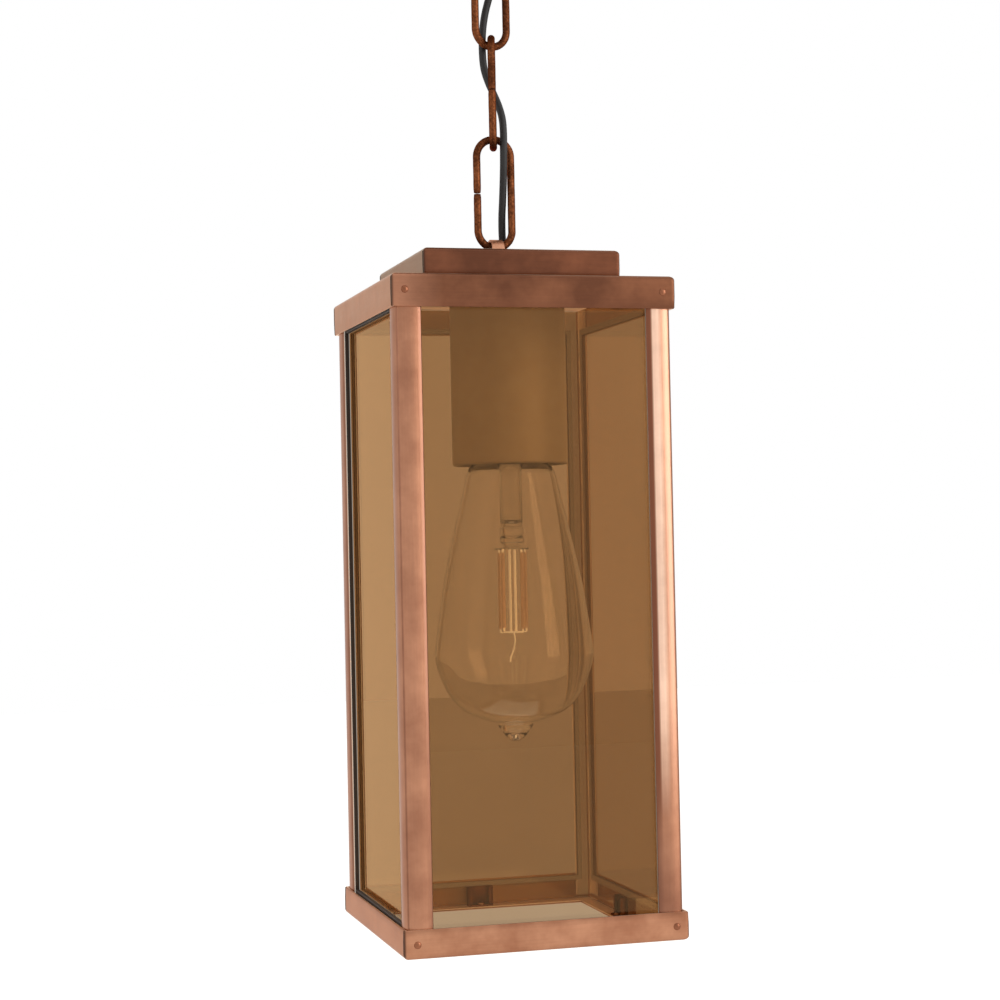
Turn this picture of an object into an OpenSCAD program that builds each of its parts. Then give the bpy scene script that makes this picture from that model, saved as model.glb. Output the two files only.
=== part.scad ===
// Hanging lantern: a tall four-pane sheet-copper body on a short chain, with its ceiling fitting,
// supply cord, lampholder and filament bulb. Millimetres, +Z up, ceiling face at z = 0.

/* [Lantern body] */
// Width and depth of the body over its bands
body_w = 112; // [90:1:150]
// Height of the body from the lower edge of the bottom band to the top of the roof
body_h = 255.4; // [215:0.1:330]
// Thickness of the folded sheet
sheet = 1; // [0.8:0.1:1.5]
// Height of the skirt that turns down from the roof
skirt_h = 12.7; // [9:0.1:20]
// Height of the band round the bottom
band_h = 11; // [8:0.5:18]
// Width of the flange that turns in from the bottom band
flange_w = 12.5; // [10:0.5:18]
// Bend radius of the folded sheet, outside
bend_r = 1.8; // [1.2:0.1:2.5]
// Gap of the folded corner seams
seam = 0.35; // [0.2:0.05:0.6]
// Width and depth of the raised crown
crown_w = 79; // [70:1:84]
// Height of the raised crown
crown_h = 12; // [11:0.5:20]

/* [Posts and glazing] */
// Width of each leg of a corner post
post_leg = 10.5; // [8:0.5:14]
// Thickness of a corner post
post_t = 1.2; // [1:0.1:2]
// Thickness of a glass pane
glass_t = 3; // [2:0.5:4]
// Thickness of a glazing seal, from post to pane
seal_t = 2; // [1.5:0.25:3]
// Width of a glazing seal
seal_w = 3; // [2:0.5:5]
// How far a seal shows past the edge of the post
seal_show = 0.6; // [0.2:0.1:1]
// Width of a pane clip
clip_w = 11.5; // [8:0.5:16]
// Height of a pane clip
clip_h = 8; // [6:0.5:12]
// Shank radius of the rivets in the bands
rivet_r = 1.2; // [0.8:0.1:1.5]

/* [Chain and hanger] */
// Wire diameter of the chain
wire_d = 3.1; // [2.5:0.1:3.4]
// Inner length of a chain link
link_pitch = 41; // [36:0.5:50]
// Outer width of a chain link
link_w = 17.3; // [16.5:0.1:20]
// Width of the staple's strap
staple_w = 5.2; // [4:0.1:6]
// Thickness of the staple's strap
staple_t = 1.2; // [1:0.1:1.5]
// Height of the staple's strap above the crown
staple_h = 9; // [8:0.1:12]
// Clear width between the staple's legs
staple_gap = 8; // [7:0.5:10]

/* [Ceiling fitting] */
// Width and depth of the ceiling canopy
canopy_w = 100; // [94:1:130]
// Height of the ceiling canopy
canopy_h = 22; // [20:0.5:30]
// Distance between the two screw holes of the bracket
bracket_holes = 70; // [66:1:76]
// Radius of the screw holes of the bracket
bracket_hole_r = 2.25; // [2:0.25:2.75]
// Inner diameter of the loop under the canopy
eye_d = 14; // [12:0.5:18]
// Wire diameter of the loop under the canopy
eye_wire = 3.5; // [3:0.1:4]

/* [Lampholder and bulb] */
// Sideways offset of the lampholder from the middle of the roof
lamp_x = 4; // [0:0.5:5]
// Diameter of the lampholder's metal cup
cup_d = 46.5; // [45:0.5:56]
// Length of the lampholder's metal cup
cup_h = 69.2; // [66:0.1:80]
// Outer diameter of the ceramic lampholder
holder_d = 40; // [36:0.5:42]
// Largest diameter of the bulb's glass
bulb_d = 64; // [56:0.5:77]
// Length of the bulb from its contact to its tip
bulb_h = 141; // [125:0.5:150]
// Diameter of the bulb's screw cap
bulb_cap_d = 26.2; // [26:0.05:26.4]

/* [Hidden] */
$fn = 64;

// clearances
fit = 0.1;        // between flat pieces that are laid together
hole_fit = 0.05;  // radial, round a rivet or a screw
hang_gap = 0.05;  // between two links where one hangs in the other
cut = 1;          // how far a cut runs past the face that it opens

// colours
copper = [0.73, 0.45, 0.34];
dark_copper = [0.36, 0.19, 0.12];
zinc = [0.7, 0.71, 0.72];
brass = [0.8, 0.66, 0.35];
black = [0.06, 0.05, 0.05];
porcelain = [0.93, 0.92, 0.88];
bronze_glass = [0.58, 0.41, 0.25, 0.5];
clear_glass = [0.95, 0.93, 0.9, 0.3];
phosphor = [0.9, 0.6, 0.25];

// ceiling fitting
collar_h = 3.3;
collar_r = 9;
stem_r = 5;                 // M10 thread of the loop
bracket_t = 2;
bracket_w = 18;
bracket_drop = 12;          // depth of the bracket's middle below the ceiling
bracket_web = 27;           // half length of the lowered middle
bracket_pad_end = 42;
nut_h = 3.2;
nut_r = 8.5;                // hexagon, centre to corner
canopy_bottom = -canopy_h;
eye_z = canopy_bottom - collar_h - eye_wire - eye_d / 2;
loop_contact = eye_z - eye_d / 2;
cord_hole = [13, -7];       // where the cord passes the canopy
cord_d = 3;
grommet_fit = 0.35;         // radial, between a grommet and the cord

// chain: contact heights from the top down
bow_r = (link_w - wire_d) / 2;
top_contact = loop_contact;
mid_contact = top_contact + hang_gap - link_pitch;
low_contact = mid_contact + hang_gap - link_pitch;
staple_contact = low_contact + hang_gap - link_pitch;
link_yaw = [0, 74, 13];     // direction of each link's plane, lowest link first
link_seam = 0.4;

// staple: its strap clears the rise of the bow across the strap's width
bow_inner = bow_r - wire_d / 2;
bow_rise = bow_inner - sqrt(bow_inner * bow_inner - staple_w * staple_w / 4);
strap_under = staple_contact + bow_rise + hang_gap;
crown_top = strap_under + staple_t - staple_h;
staple_foot = 8;

// roof and body heights
cap_top = crown_top - crown_h;
cap_under = cap_top - sheet;
base_z = cap_top - body_h;
half = body_w / 2;
post_face = half - sheet - fit;         // outer face of the posts
post_back = post_face - post_t;
pane_face = post_back - seal_t - fit;   // outer face of the panes
pane_inner = pane_face - glass_t;
pane_half = pane_face - fit;            // half width of the front and back panes
side_pane_half = pane_inner - fit;      // half width of the side panes
sight = post_face - post_leg - seal_show; // half width of the glass that shows
pane_low = base_z + sheet + 0.2;
pane_high = cap_under - 1.5;
crown_half = crown_w / 2;
crown_under = crown_top - sheet;
crown_lip = 9;
crown_hole = crown_half - 5;
crown_screw_r = 1.5;
cord_gland = [5.6, 6.3];    // where the cord passes the top of the crown
rivet_inset = 5;            // from the end of a band to the middle of its rivet
rivet_head_r = 1.7;
rivet_head_h = 0.7;
cap_rivet_z = cap_top - skirt_h / 2;
frame_rivet_z = base_z + band_h / 2;
clip_t = 0.8;
clip_foot = 4.4;
clip_rivet_r = 1;
clip_rivet_y = pane_inner - fit - clip_foot / 2 - 0.6;

// lampholder and bulb, measured down from the roof
nipple_r = 5;
nipple_bore = 3.5;
nipple_top = cap_top + 4.1;
nipple_len = 25;
cup_t = 1;
cup_low = cap_under - fit - cup_h;
holder_r = holder_d / 2;
dome_top = cap_under - 12;
dome_h = 20;
dome_t = 2.4;
boss_r = 8;
contact_z = cap_top - 40.4;             // tip of the bulb's contact
body_top = dome_top - dome_h - fit;
mouth_z = contact_z - 25;               // lower rim of the lampholder
shell_fit = 0.15;
shell_r = bulb_cap_d / 2 + shell_fit;
shell_t = 0.5;
cap_r = bulb_cap_d / 2;
cap_low = contact_z - 26.5;
neck_z = contact_z - 24;
bulb_r = bulb_d / 2;
glass_wall = 0.9;
stem_low = contact_z - 64;
filament_len = 33.5;
filament_low = stem_low - filament_len;

// hand-chosen route of the supply cord, from the ceiling terminal block to the crown's block
cord_route = [
  [5.3, -30, -15.8], [9, -30, -15.8], [13.5, -26.5, -15], [15, -20, -14.5], [14, -12.5, -15.5],
  [13.1, -7.5, -18.6], [13, -7, -21.5], [12.7, -6.9, -25], [11.2, -5.8, -31], [8, -4.6, -37],
  [5.4, -3.8, -43], [4, -2, -50], [2.4, 0.4, -57], [0.3, 2, -64], [-1.6, 2.9, -71.5],
  [-2.7, 3.1, -79], [-2.9, 3.1, -87], [-2.5, 2.4, -94], [-1.1, 1, -100], [0.6, 0, -104.5],
  [2.2, -1.4, -109.5], [3.2, -2.8, -115], [3.4, -3.5, -121], [3.3, -3.5, -127.5],
  [3.4, -2.6, -134], [3.6, -0.9, -140.5], [3.7, 0.9, -147.5], [3.7, 2.5, -154.5],
  [4, 3.7, -161.5], [4.7, 4.8, -167], [5.4, 6, -170.8], [5.6, 6.3, -173.4], [5.6, 6.7, -176],
  [4.8, 9.3, -180.2], [1.8, 12.6, -182.9], [-2.5, 13.8, -183.1], [-6.5, 13.6, -183.1],
  [-11.5, 12, -182.7], [-14.9, 12, -182.7]
];
// points of the route at which one length of cord meets the next
cord_joints = [0, 12, 19, 25, 38];
cord_step = 2;              // rings for each point of the route
block_z = cap_top + 8;      // top of the crown's terminal block
block_x = -15;              // its side towards the lampholder
clamp_x = -5.5;             // middle of the cord clamp
clamp_y = 13.7;
clamp_reach = 6.2;          // from its middle to a screw
clamp_r = cord_d + 0.4;     // inside radius of its saddle
earth_y = -16;              // middle of the earth screw

// ---- shared shapes ----

function unit(v) = v / norm(v);
function blend4(a, b, c, d, t) =
  b + (c - a) * t / 2 + (2 * a - 5 * b + 4 * c - d) * t * t / 2
    + (3 * b - a - 3 * c + d) * t * t * t / 2;
function smooth(p, n) = concat(
  [for (i = [0 : len(p) - 2]) for (j = [0 : n - 1])
    blend4(p[max(i - 1, 0)], p[i], p[i + 1], p[min(i + 2, len(p) - 1)], j / n)],
  [p[len(p) - 1]]);
function tangents(p) = [for (i = [0 : len(p) - 1])
  unit(p[min(i + 1, len(p) - 1)] - p[max(i - 1, 0)])];
function carried(t, side, i = 0) = i >= len(t) ? [] :
  let (s = unit(side - (side * t[i]) * t[i])) concat([s], carried(t, s, i + 1));

// tube along rings first to last of a path, its sides carried along without twist
module tube(path, r, sides, first, last) {
  t = tangents(path);
  side = carried(t, cross(t[0], [0.3, 0.2, 0.93]));
  rings = [for (i = [first : last]) for (k = [0 : sides - 1])
    let (a = 360 * k / sides)
      path[i] + r * (cos(a) * side[i] + sin(a) * cross(t[i], side[i]))];
  n = last - first;
  walls = [for (i = [0 : n - 1]) for (k = [0 : sides - 1])
    let (k2 = (k + 1) % sides)
      [i * sides + k, i * sides + k2, (i + 1) * sides + k2, (i + 1) * sides + k]];
  ends = [[for (k = [sides - 1 : -1 : 0]) k], [for (k = [0 : sides - 1]) n * sides + k]];
  polyhedron(points = rings, faces = concat(walls, ends), convexity = 6);
}

module wire(points, r) {
  path = smooth(points, 3);
  tube(path, r, 8, 0, len(path) - 1);
}

module drum(z, h, r) {
  translate([0, 0, z]) cylinder(h = h, r = r);
}

module hex_nut(z, h, r, bore) {
  difference() {
    translate([0, 0, z]) cylinder(h = h, r = r, $fn = 6);
    drum(z - cut, h + 2 * cut, bore);
  }
}

// box from two opposite corners
module span(low, high) {
  translate(low) cube(high - low);
}

// front outline of a folded box with both upper corners bent round
module bent_outline(w, h, r) {
  union() {
    translate([-w / 2, -h]) square([w, h - r]);
    translate([-w / 2 + r, -r]) square([w - 2 * r, r]);
    for (side = [-1, 1]) translate([side * (w / 2 - r), -r]) circle(r = r);
  }
}

// square tray, open below, bent from sheet: its top face is at z = 0
module bent_block(w, h, r) {
  intersection() {
    rotate([90, 0, 0]) linear_extrude(height = w, center = true) bent_outline(w, h, r);
    rotate([90, 0, 90]) linear_extrude(height = w, center = true) bent_outline(w, h, r);
  }
}

module bent_tray(w, h, r, t) {
  difference() {
    bent_block(w, h, r);
    translate([0, 0, -t]) bent_block(w - 2 * t, h - t + cut, r - t);
  }
}

// seams where the side bands meet the front and back bands, from z_low to z_high
module corner_seams(w, z_low, z_high) {
  for (x = [-1, 1], y = [-1, 1])
    translate([x * (w / 2), y * (w / 2 - sheet - seam / 2), (z_low + z_high) / 2])
      cube([2 * sheet, seam, z_high - z_low], center = true);
}

// children in all four turns about the Z axis
module on_four_sides() {
  for (turn = [0 : 90 : 270]) rotate([0, 0, turn]) children();
}

// children drawn on the lampholder's own axis
module on_lamp_axis() {
  translate([lamp_x, 0, 0]) children();
}

// ---- ceiling fitting ----

module ceiling_bracket() {
  color(zinc) difference() {
    union() {
      for (side = [-1, 1]) {
        translate([side * (bracket_web + bracket_pad_end) / 2, 0, -bracket_t / 2])
          cube([bracket_pad_end - bracket_web, bracket_w, bracket_t], center = true);
        translate([side * (bracket_web + bracket_t / 2), 0, -(bracket_drop + bracket_t) / 2])
          cube([bracket_t, bracket_w, bracket_drop + bracket_t], center = true);
      }
      translate([0, 0, -bracket_drop - bracket_t / 2])
        cube([2 * bracket_web + bracket_t, bracket_w, bracket_t], center = true);
    }
    drum(-bracket_drop - bracket_t - cut, bracket_t + 2 * cut, stem_r + hole_fit);
    for (side = [-1, 1]) translate([side * bracket_holes / 2, 0, 0])
      drum(-bracket_t - cut, bracket_t + 2 * cut, bracket_hole_r);
  }
}

module ceiling_canopy() {
  color(copper) difference() {
    rotate([180, 0, 0]) translate([0, 0, canopy_h]) bent_tray(canopy_w, canopy_h, bend_r, sheet);
    drum(canopy_bottom - cut, sheet + 2 * cut, stem_r + hole_fit);
    translate(cord_hole) drum(canopy_bottom - cut, sheet + 2 * cut, cord_d / 2 + 1.5);
  }
}

module canopy_loop() {
  color(dark_copper) union() {
    translate([0, 0, eye_z]) rotate([0, 90, 0])
      rotate_extrude() translate([(eye_d + eye_wire) / 2, 0]) circle(d = eye_wire, $fn = 32);
    drum(eye_z + eye_d / 2 + 1, -8 - eye_z - eye_d / 2 - 1, stem_r);
  }
}

module canopy_collar() {
  color(copper) difference() {
    drum(canopy_bottom - collar_h, collar_h, collar_r);
    drum(canopy_bottom - collar_h - cut, collar_h + 2 * cut, stem_r + hole_fit);
  }
}

module loop_nuts() {
  color(zinc) {
    hex_nut(-bracket_drop, nut_h, nut_r, stem_r + hole_fit);
    hex_nut(-bracket_drop - bracket_t - nut_h, nut_h, nut_r, stem_r + hole_fit);
  }
}

// rubber ring in a sheet whose top face is at z: a flange above and below and a neck between
module grommet(z, flange_r) {
  neck_r = cord_d / 2 + 1.4;
  difference() {
    union() {
      drum(z + fit / 2, 1, flange_r);
      drum(z - sheet - fit, sheet + 2 * fit, neck_r);
      drum(z - sheet - 1, 1 - fit / 2, flange_r);
    }
    drum(z - sheet - 1 - cut, sheet + 2 + 2 * cut, cord_d / 2 + grommet_fit);
  }
}

module canopy_grommet() {
  color(black) translate(cord_hole) grommet(canopy_bottom + sheet, 4);
}

module ceiling_terminal_block() {
  low = canopy_bottom + sheet;
  color(black) difference() {
    span([-25, -37, low], [5, -23, low + 10]);
    for (x = [-20, -10, 0]) translate([x, -30, 0]) drum(low + 6, 5, 1.8);
  }
}

// ---- supply cord ----

module supply_cord(part) {
  path = smooth(cord_route, cord_step);
  color(black)
    tube(path, cord_d / 2, 8, cord_step * cord_joints[part], cord_step * cord_joints[part + 1]);
}

module supply_cord_1() { supply_cord(0); }
module supply_cord_2() { supply_cord(1); }
module supply_cord_3() { supply_cord(2); }
module supply_cord_4() { supply_cord(3); }

// ---- chain ----

// link whose upper inner face is at z, in the plane turned by yaw about Z
module chain_link(z, yaw) {
  bow_high = z + wire_d / 2 - bow_r;
  bow_low = z - link_pitch - wire_d / 2 + bow_r;
  leg = bow_high - bow_low;
  color(dark_copper) rotate([0, 0, yaw]) difference() {
    union() {
      translate([0, 0, bow_high]) rotate([90, 0, 0])
        rotate_extrude(angle = 180) translate([bow_r, 0]) circle(d = wire_d, $fn = 32);
      translate([0, 0, bow_low]) rotate([90, 0, 0])
        rotate([0, 0, 180]) rotate_extrude(angle = 180) translate([bow_r, 0])
          circle(d = wire_d, $fn = 32);
      for (side = [-1, 1]) translate([side * bow_r, 0, bow_low])
        cylinder(h = leg, d = wire_d, $fn = 32);
    }
    translate([-bow_r, 0, (bow_high + bow_low) / 2])
      cube([2 * wire_d, 2 * wire_d, link_seam], center = true);
  }
}

module chain_link_3() { chain_link(top_contact + hang_gap, link_yaw[2]); }
module chain_link_2() { chain_link(mid_contact + hang_gap, link_yaw[1]); }
module chain_link_1() { chain_link(low_contact + hang_gap, link_yaw[0]); }

// ---- hanger and crown ----

module hanger_staple() {
  r = staple_gap / 2;
  arch_z = strap_under - r;
  foot_z = crown_under - fit;
  color(copper) difference() {
    union() {
      translate([0, 0, arch_z]) rotate([90, 0, 90])
        linear_extrude(height = staple_w, center = true) difference() {
          circle(r = r + staple_t);
          circle(r = r);
          translate([-2 * r, -2 * r]) square([4 * r, 2 * r]);
        }
      for (side = [-1, 1]) {
        span([-staple_w / 2, side > 0 ? r : -r - staple_t, foot_z - staple_t],
             [staple_w / 2, side > 0 ? r + staple_t : -r, arch_z]);
        span([-staple_w / 2, side > 0 ? r : -r - staple_foot, foot_z - staple_t],
             [staple_w / 2, side > 0 ? r + staple_foot : -r, foot_z]);
      }
    }
    for (side = [-1, 1]) translate([0, side * (r + staple_foot - 3), 0])
      drum(foot_z - staple_t - cut, staple_t + 2 * cut, rivet_r + hole_fit);
  }
}

module staple_rivets() {
  low = crown_under - fit - staple_t;
  for (side = [-1, 1])
    color(copper) translate([0, side * (staple_gap / 2 + staple_foot - 3), 0]) union() {
      drum(low, crown_top - low, rivet_r);
      drum(crown_top, 0.5, rivet_r + 0.8);
      drum(low - 0.8, 0.8, rivet_r + 0.8);
    }
}

module crown_box() {
  slot_y = staple_gap / 2 + staple_t / 2;
  color(copper) difference() {
    union() {
      translate([0, 0, crown_top]) bent_tray(crown_w, crown_h, bend_r, sheet);
      difference() {
        span([-crown_half + sheet / 2, -crown_half + sheet / 2, cap_top],
             [crown_half - sheet / 2, crown_half - sheet / 2, cap_top + sheet]);
        span([-crown_half + crown_lip, -crown_half + crown_lip, cap_top - cut],
             [crown_half - crown_lip, crown_half - crown_lip, cap_top + 2 * sheet]);
      }
    }
    for (side = [-1, 1]) {
      translate([0, side * slot_y, crown_top - sheet / 2])
        cube([staple_w + 2 * fit, staple_t + 2 * fit, 3 * sheet], center = true);
      translate([0, side * (staple_gap / 2 + staple_foot - 3), 0])
        drum(crown_under - cut, sheet + 2 * cut, rivet_r + hole_fit);
    }
    translate([cord_gland[0], cord_gland[1], 0])
      drum(crown_under - cut, sheet + 2 * cut, cord_d / 2 + 1.5);
    on_four_sides() translate([crown_hole, crown_hole, 0])
      drum(cap_top - cut, sheet + 2 * cut, crown_screw_r + hole_fit);
  }
}

module crown_screws() {
  color(zinc) on_four_sides() translate([crown_hole, crown_hole, 0]) union() {
    drum(cap_under - 1.8, 1.8, 2.8);
    drum(cap_under, 2 * sheet + 3.4, crown_screw_r);
  }
}

module crown_nuts() {
  color(zinc) on_four_sides() translate([crown_hole, crown_hole, 0])
    hex_nut(cap_top + sheet, 2.4, 3.1, crown_screw_r + hole_fit);
}

module crown_grommet() {
  color(black) translate([cord_gland[0], cord_gland[1], 0]) grommet(crown_top, 2.9);
}

// saddle that holds the cord down on the roof inside the crown
module cord_clamp() {
  color(zinc) translate([clamp_x, clamp_y, cap_top]) difference() {
    union() {
      translate([0, 0, 0.5]) cube([5, 2 * clamp_reach + 4, 1], center = true);
      rotate([0, 90, 0]) cylinder(h = 5, r = clamp_r + 0.8, center = true);
    }
    rotate([0, 90, 0]) cylinder(h = 7, r = clamp_r, center = true);
    translate([0, 0, -6]) cube([8, 30, 12], center = true);
    for (side = [-1, 1]) translate([0, side * clamp_reach, -cut])
      cylinder(h = 4, r = 1 + hole_fit);
  }
}

module clamp_screws() {
  color(zinc) for (side = [-1, 1])
    translate([clamp_x, clamp_y + side * clamp_reach, 0]) union() {
      drum(cap_top + 1, 1.2, 1.7);
      drum(cap_under, sheet + 1, 1);
    }
}

module crown_terminal_block() {
  color(black) difference() {
    span([block_x - 14, -2, cap_top], [block_x, 22, block_z]);
    for (y = [3, 10, 17]) translate([block_x - 7, y, 0]) drum(block_z - 4, 5, 1.8);
  }
}

module terminal_screws() {
  color(brass) for (y = [3, 10, 17]) translate([block_x - 7, y, 0]) difference() {
    drum(block_z - 4, 3, 1.7);
    translate([0, 0, block_z - 1]) cube([0.6, 4, 1], center = true);
  }
}

module lamp_wires() {
  z = cap_top;
  top = dome_top - 14;
  color([0.35, 0.2, 0.12]) wire([
    [block_x + fit, 6, z + 4.2], [block_x + 3, 6, z + 4.2], [-8, 4.8, z + 5.4],
    [-3, 2.5, z + 6.8], [0.5, 1, z + 6.6], [lamp_x - 1.7, 0.2, z + 4.6],
    [lamp_x - 1.7, 0, z - 2], [lamp_x - 1.7, 0, dome_top], [lamp_x - 4, 0, top],
    [lamp_x - 7.5, 0, body_top + 5.2]], 0.8);
  color([0.2, 0.35, 0.6]) wire([
    [block_x + fit, 0, z + 4.2], [block_x + 3, 0, z + 4.2], [-8, -1.6, z + 6],
    [-3, -3, z + 7.6], [2.5, -2, z + 8], [lamp_x + 1.7, -0.5, z + 5.4],
    [lamp_x + 1.7, 0, z - 2], [lamp_x + 1.7, 0, dome_top], [lamp_x + 4, 0, top],
    [lamp_x + 7.5, 0, body_top + 5.2]], 0.8);
}

module earth_wire() {
  x = block_x - 7;
  color([0.45, 0.6, 0.2]) wire([
    [x, -2 - fit, cap_top + 4.2], [x, -4.5, cap_top + 4.2], [x, -8, cap_top + 3.2],
    [x, -11, cap_top + 1.4], [x, earth_y + 2.6, cap_top + 1.4]], 0.8);
}

module earth_screw() {
  color(brass) translate([block_x - 7, earth_y, 0]) union() {
    drum(cap_top, 2.6, 2.5);
    drum(cap_under - 3, sheet + 3, 1.5);
    hex_nut(cap_under - 2.4, 2.4, 3.2, 1.2);
  }
}

// ---- roof, posts and glazing ----

module roof_cap() {
  color(copper) difference() {
    translate([0, 0, cap_top]) bent_tray(body_w, skirt_h, bend_r, sheet);
    corner_seams(body_w, cap_top - skirt_h - cut, cap_top - bend_r);
    on_lamp_axis() drum(cap_under - cut, sheet + 2 * cut, nipple_r + hole_fit);
    on_four_sides() translate([crown_hole, crown_hole, 0])
      drum(cap_under - cut, sheet + 2 * cut, crown_screw_r + hole_fit);
    translate([block_x - 7, earth_y, 0]) drum(cap_under - cut, sheet + 2 * cut, 1.5 + hole_fit);
    for (side = [-1, 1]) translate([clamp_x, clamp_y + side * clamp_reach, 0])
      drum(cap_under - cut, sheet + 2 * cut, 1 + hole_fit);
    band_rivet_holes(cap_rivet_z);
  }
}

// holes for the rivets near the ends of the front and back bands
module band_rivet_holes(z) {
  for (x = [-1, 1]) translate([x * (half - rivet_inset), 0, z]) rotate([90, 0, 0])
    cylinder(h = 3 * half, r = rivet_r + hole_fit, center = true, $fn = 32);
}

module band_rivets(z) {
  for (x = [-1, 1], y = [0, 180]) rotate([0, 0, y]) translate([x * (half - rivet_inset), 0, z])
    rotate([90, 0, 0]) union() {
      translate([0, 0, post_back]) cylinder(h = half - post_back, r = rivet_r, $fn = 32);
      intersection() {
        translate([0, 0, half]) cylinder(h = rivet_head_h, r = rivet_head_r, $fn = 32);
        translate([0, 0, half - 1.8]) sphere(r = 1.8 + rivet_head_h, $fn = 32);
      }
    }
}

module cap_rivets() { color(copper) band_rivets(cap_rivet_z); }
module frame_rivets() { color(copper) band_rivets(frame_rivet_z); }

// post drawn for the corner at +X +Y
module corner_post(turn) {
  low = base_z + bend_r + fit;
  high = cap_top - bend_r - fit;
  color(copper) difference() {
    rotate([0, 0, turn]) translate([0, 0, low]) linear_extrude(height = high - low) difference() {
      union() {
        translate([post_face - post_leg, post_face - post_leg])
          square([post_leg, post_leg - bend_r]);
        translate([post_face - post_leg, post_face - post_leg])
          square([post_leg - bend_r, post_leg]);
        translate([post_face - bend_r, post_face - bend_r]) circle(r = bend_r);
      }
      translate([0, 0]) square([post_back - (bend_r - post_t), post_back]);
      translate([0, 0]) square([post_back, post_back - (bend_r - post_t)]);
      translate([post_face - bend_r, post_face - bend_r]) circle(r = bend_r - post_t);
    }
    band_rivet_holes(cap_rivet_z);
    band_rivet_holes(frame_rivet_z);
  }
}

module post_back_right() { corner_post(0); }
module post_back_left() { corner_post(90); }
module post_front_left() { corner_post(180); }
module post_front_right() { corner_post(270); }

// pane drawn on the back and turned to its side
module pane(turn, half_width) {
  color(bronze_glass) rotate([0, 0, turn])
    span([-half_width, pane_inner, pane_low], [half_width, pane_face, pane_high]);
}

module pane_back() { pane(0, pane_half); }
module pane_left() { pane(90, side_pane_half); }
module pane_front() { pane(180, pane_half); }
module pane_right() { pane(270, side_pane_half); }

// seal drawn on the back and turned to its side: a flat ring behind the posts and bands
module seal(turn) {
  low = base_z + band_h + seal_show;
  high = cap_top - skirt_h - seal_show;
  color(black) rotate([0, 0, turn]) difference() {
    span([-sight - seal_w, post_back - seal_t, low - seal_w],
         [sight + seal_w, post_back, high + seal_w]);
    span([-sight, post_back - seal_t - cut, low], [sight, post_back + cut, high]);
  }
}

module seal_back() { seal(0); }
module seal_left() { seal(90); }
module seal_front() { seal(180); }
module seal_right() { seal(270); }

module bottom_frame() {
  color(copper) difference() {
    translate([0, 0, base_z]) mirror([0, 0, 1]) bent_tray(body_w, band_h, bend_r, sheet);
    span([-half + flange_w, -half + flange_w, base_z - cut],
         [half - flange_w, half - flange_w, base_z + 2 * sheet]);
    corner_seams(body_w, base_z + bend_r, base_z + band_h + cut);
    band_rivet_holes(frame_rivet_z);
    on_four_sides() translate([0, clip_rivet_y, 0])
      drum(base_z - cut, sheet + 2 * cut, clip_rivet_r + hole_fit);
  }
}

// bent clips: four stand on the bottom flange behind the panes
module pane_clips() {
  face = pane_inner - fit;
  color(dark_copper) on_four_sides() difference() {
    union() {
      span([-clip_w / 2, face - clip_t, base_z + sheet],
           [clip_w / 2, face, base_z + sheet + clip_h]);
      span([-clip_w / 2, face - clip_foot, base_z + sheet],
           [clip_w / 2, face, base_z + sheet + clip_t]);
    }
    translate([0, clip_rivet_y, 0])
      drum(base_z + sheet - cut, clip_t + 2 * cut, clip_rivet_r + hole_fit);
  }
}

module clip_rivets() {
  color(copper) on_four_sides() translate([0, clip_rivet_y, 0]) union() {
    drum(base_z, sheet + clip_t, clip_rivet_r);
    drum(base_z + sheet + clip_t, 0.5, clip_rivet_r + 0.5);
  }
}

// ---- lampholder ----

module holder_cup() {
  top = cap_under - fit;
  color(dark_copper) on_lamp_axis() difference() {
    drum(cup_low, top - cup_low, cup_d / 2);
    drum(cup_low - cut, top - cup_low - cup_t + cut, cup_d / 2 - cup_t);
    drum(top - cup_t - cut, cup_t + 2 * cut, nipple_r + hole_fit);
  }
}

module holder_nipple() {
  color(brass) on_lamp_axis() difference() {
    drum(nipple_top - nipple_len, nipple_len, nipple_r);
    drum(nipple_top - nipple_len - cut, nipple_len + 2 * cut, nipple_bore);
  }
}

module nipple_nuts() {
  color(brass) on_lamp_axis() {
    hex_nut(cap_top, 3, nut_r, nipple_r + hole_fit);
    hex_nut(cap_under - fit - cup_t - 3, 3, nut_r, nipple_r + hole_fit);
  }
}

module lampholder_dome() {
  low = dome_top - dome_h;
  color(porcelain) on_lamp_axis() difference() {
    union() {
      drum(low, dome_h - 4, holder_r);
      drum(dome_top - 4, 4, boss_r);
    }
    drum(low - cut, dome_h - 4 - dome_t + cut, holder_r - dome_t);
    drum(low, dome_h + cut, nipple_r + hole_fit);
  }
}

module lampholder_body() {
  color(porcelain) on_lamp_axis() difference() {
    drum(mouth_z, body_top - mouth_z, holder_r);
    drum(mouth_z - cut, contact_z + 3 - mouth_z + cut, shell_r + shell_t + hole_fit);
    for (side = [-1, 1]) translate([side * 9, 0, 0])
      drum(body_top - 3.8, 3.8 + cut, 1.5 + hole_fit);
    drum(contact_z, body_top - contact_z + cut, 2 + hole_fit);
  }
}

module screw_shell() {
  color(brass) on_lamp_axis() difference() {
    drum(mouth_z + 1, contact_z + 2 - mouth_z, shell_r + shell_t);
    drum(mouth_z, contact_z + 2.2 - mouth_z, shell_r);
    drum(contact_z, 5, 9);
  }
}

module centre_contact() {
  color(brass) on_lamp_axis() union() {
    drum(contact_z + 0.1, 1.2, 4);
    drum(contact_z + 1.2, body_top - contact_z - 1.2, 2);
    drum(body_top, 1, 3);
  }
}

module lampholder_screws() {
  color(brass) on_lamp_axis() for (side = [-1, 1]) translate([side * 9, 0, 0]) union() {
    drum(body_top - 3.6, 3.6, 1.5);
    drum(body_top, 2, 3);
  }
}

// ---- bulb ----

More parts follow.
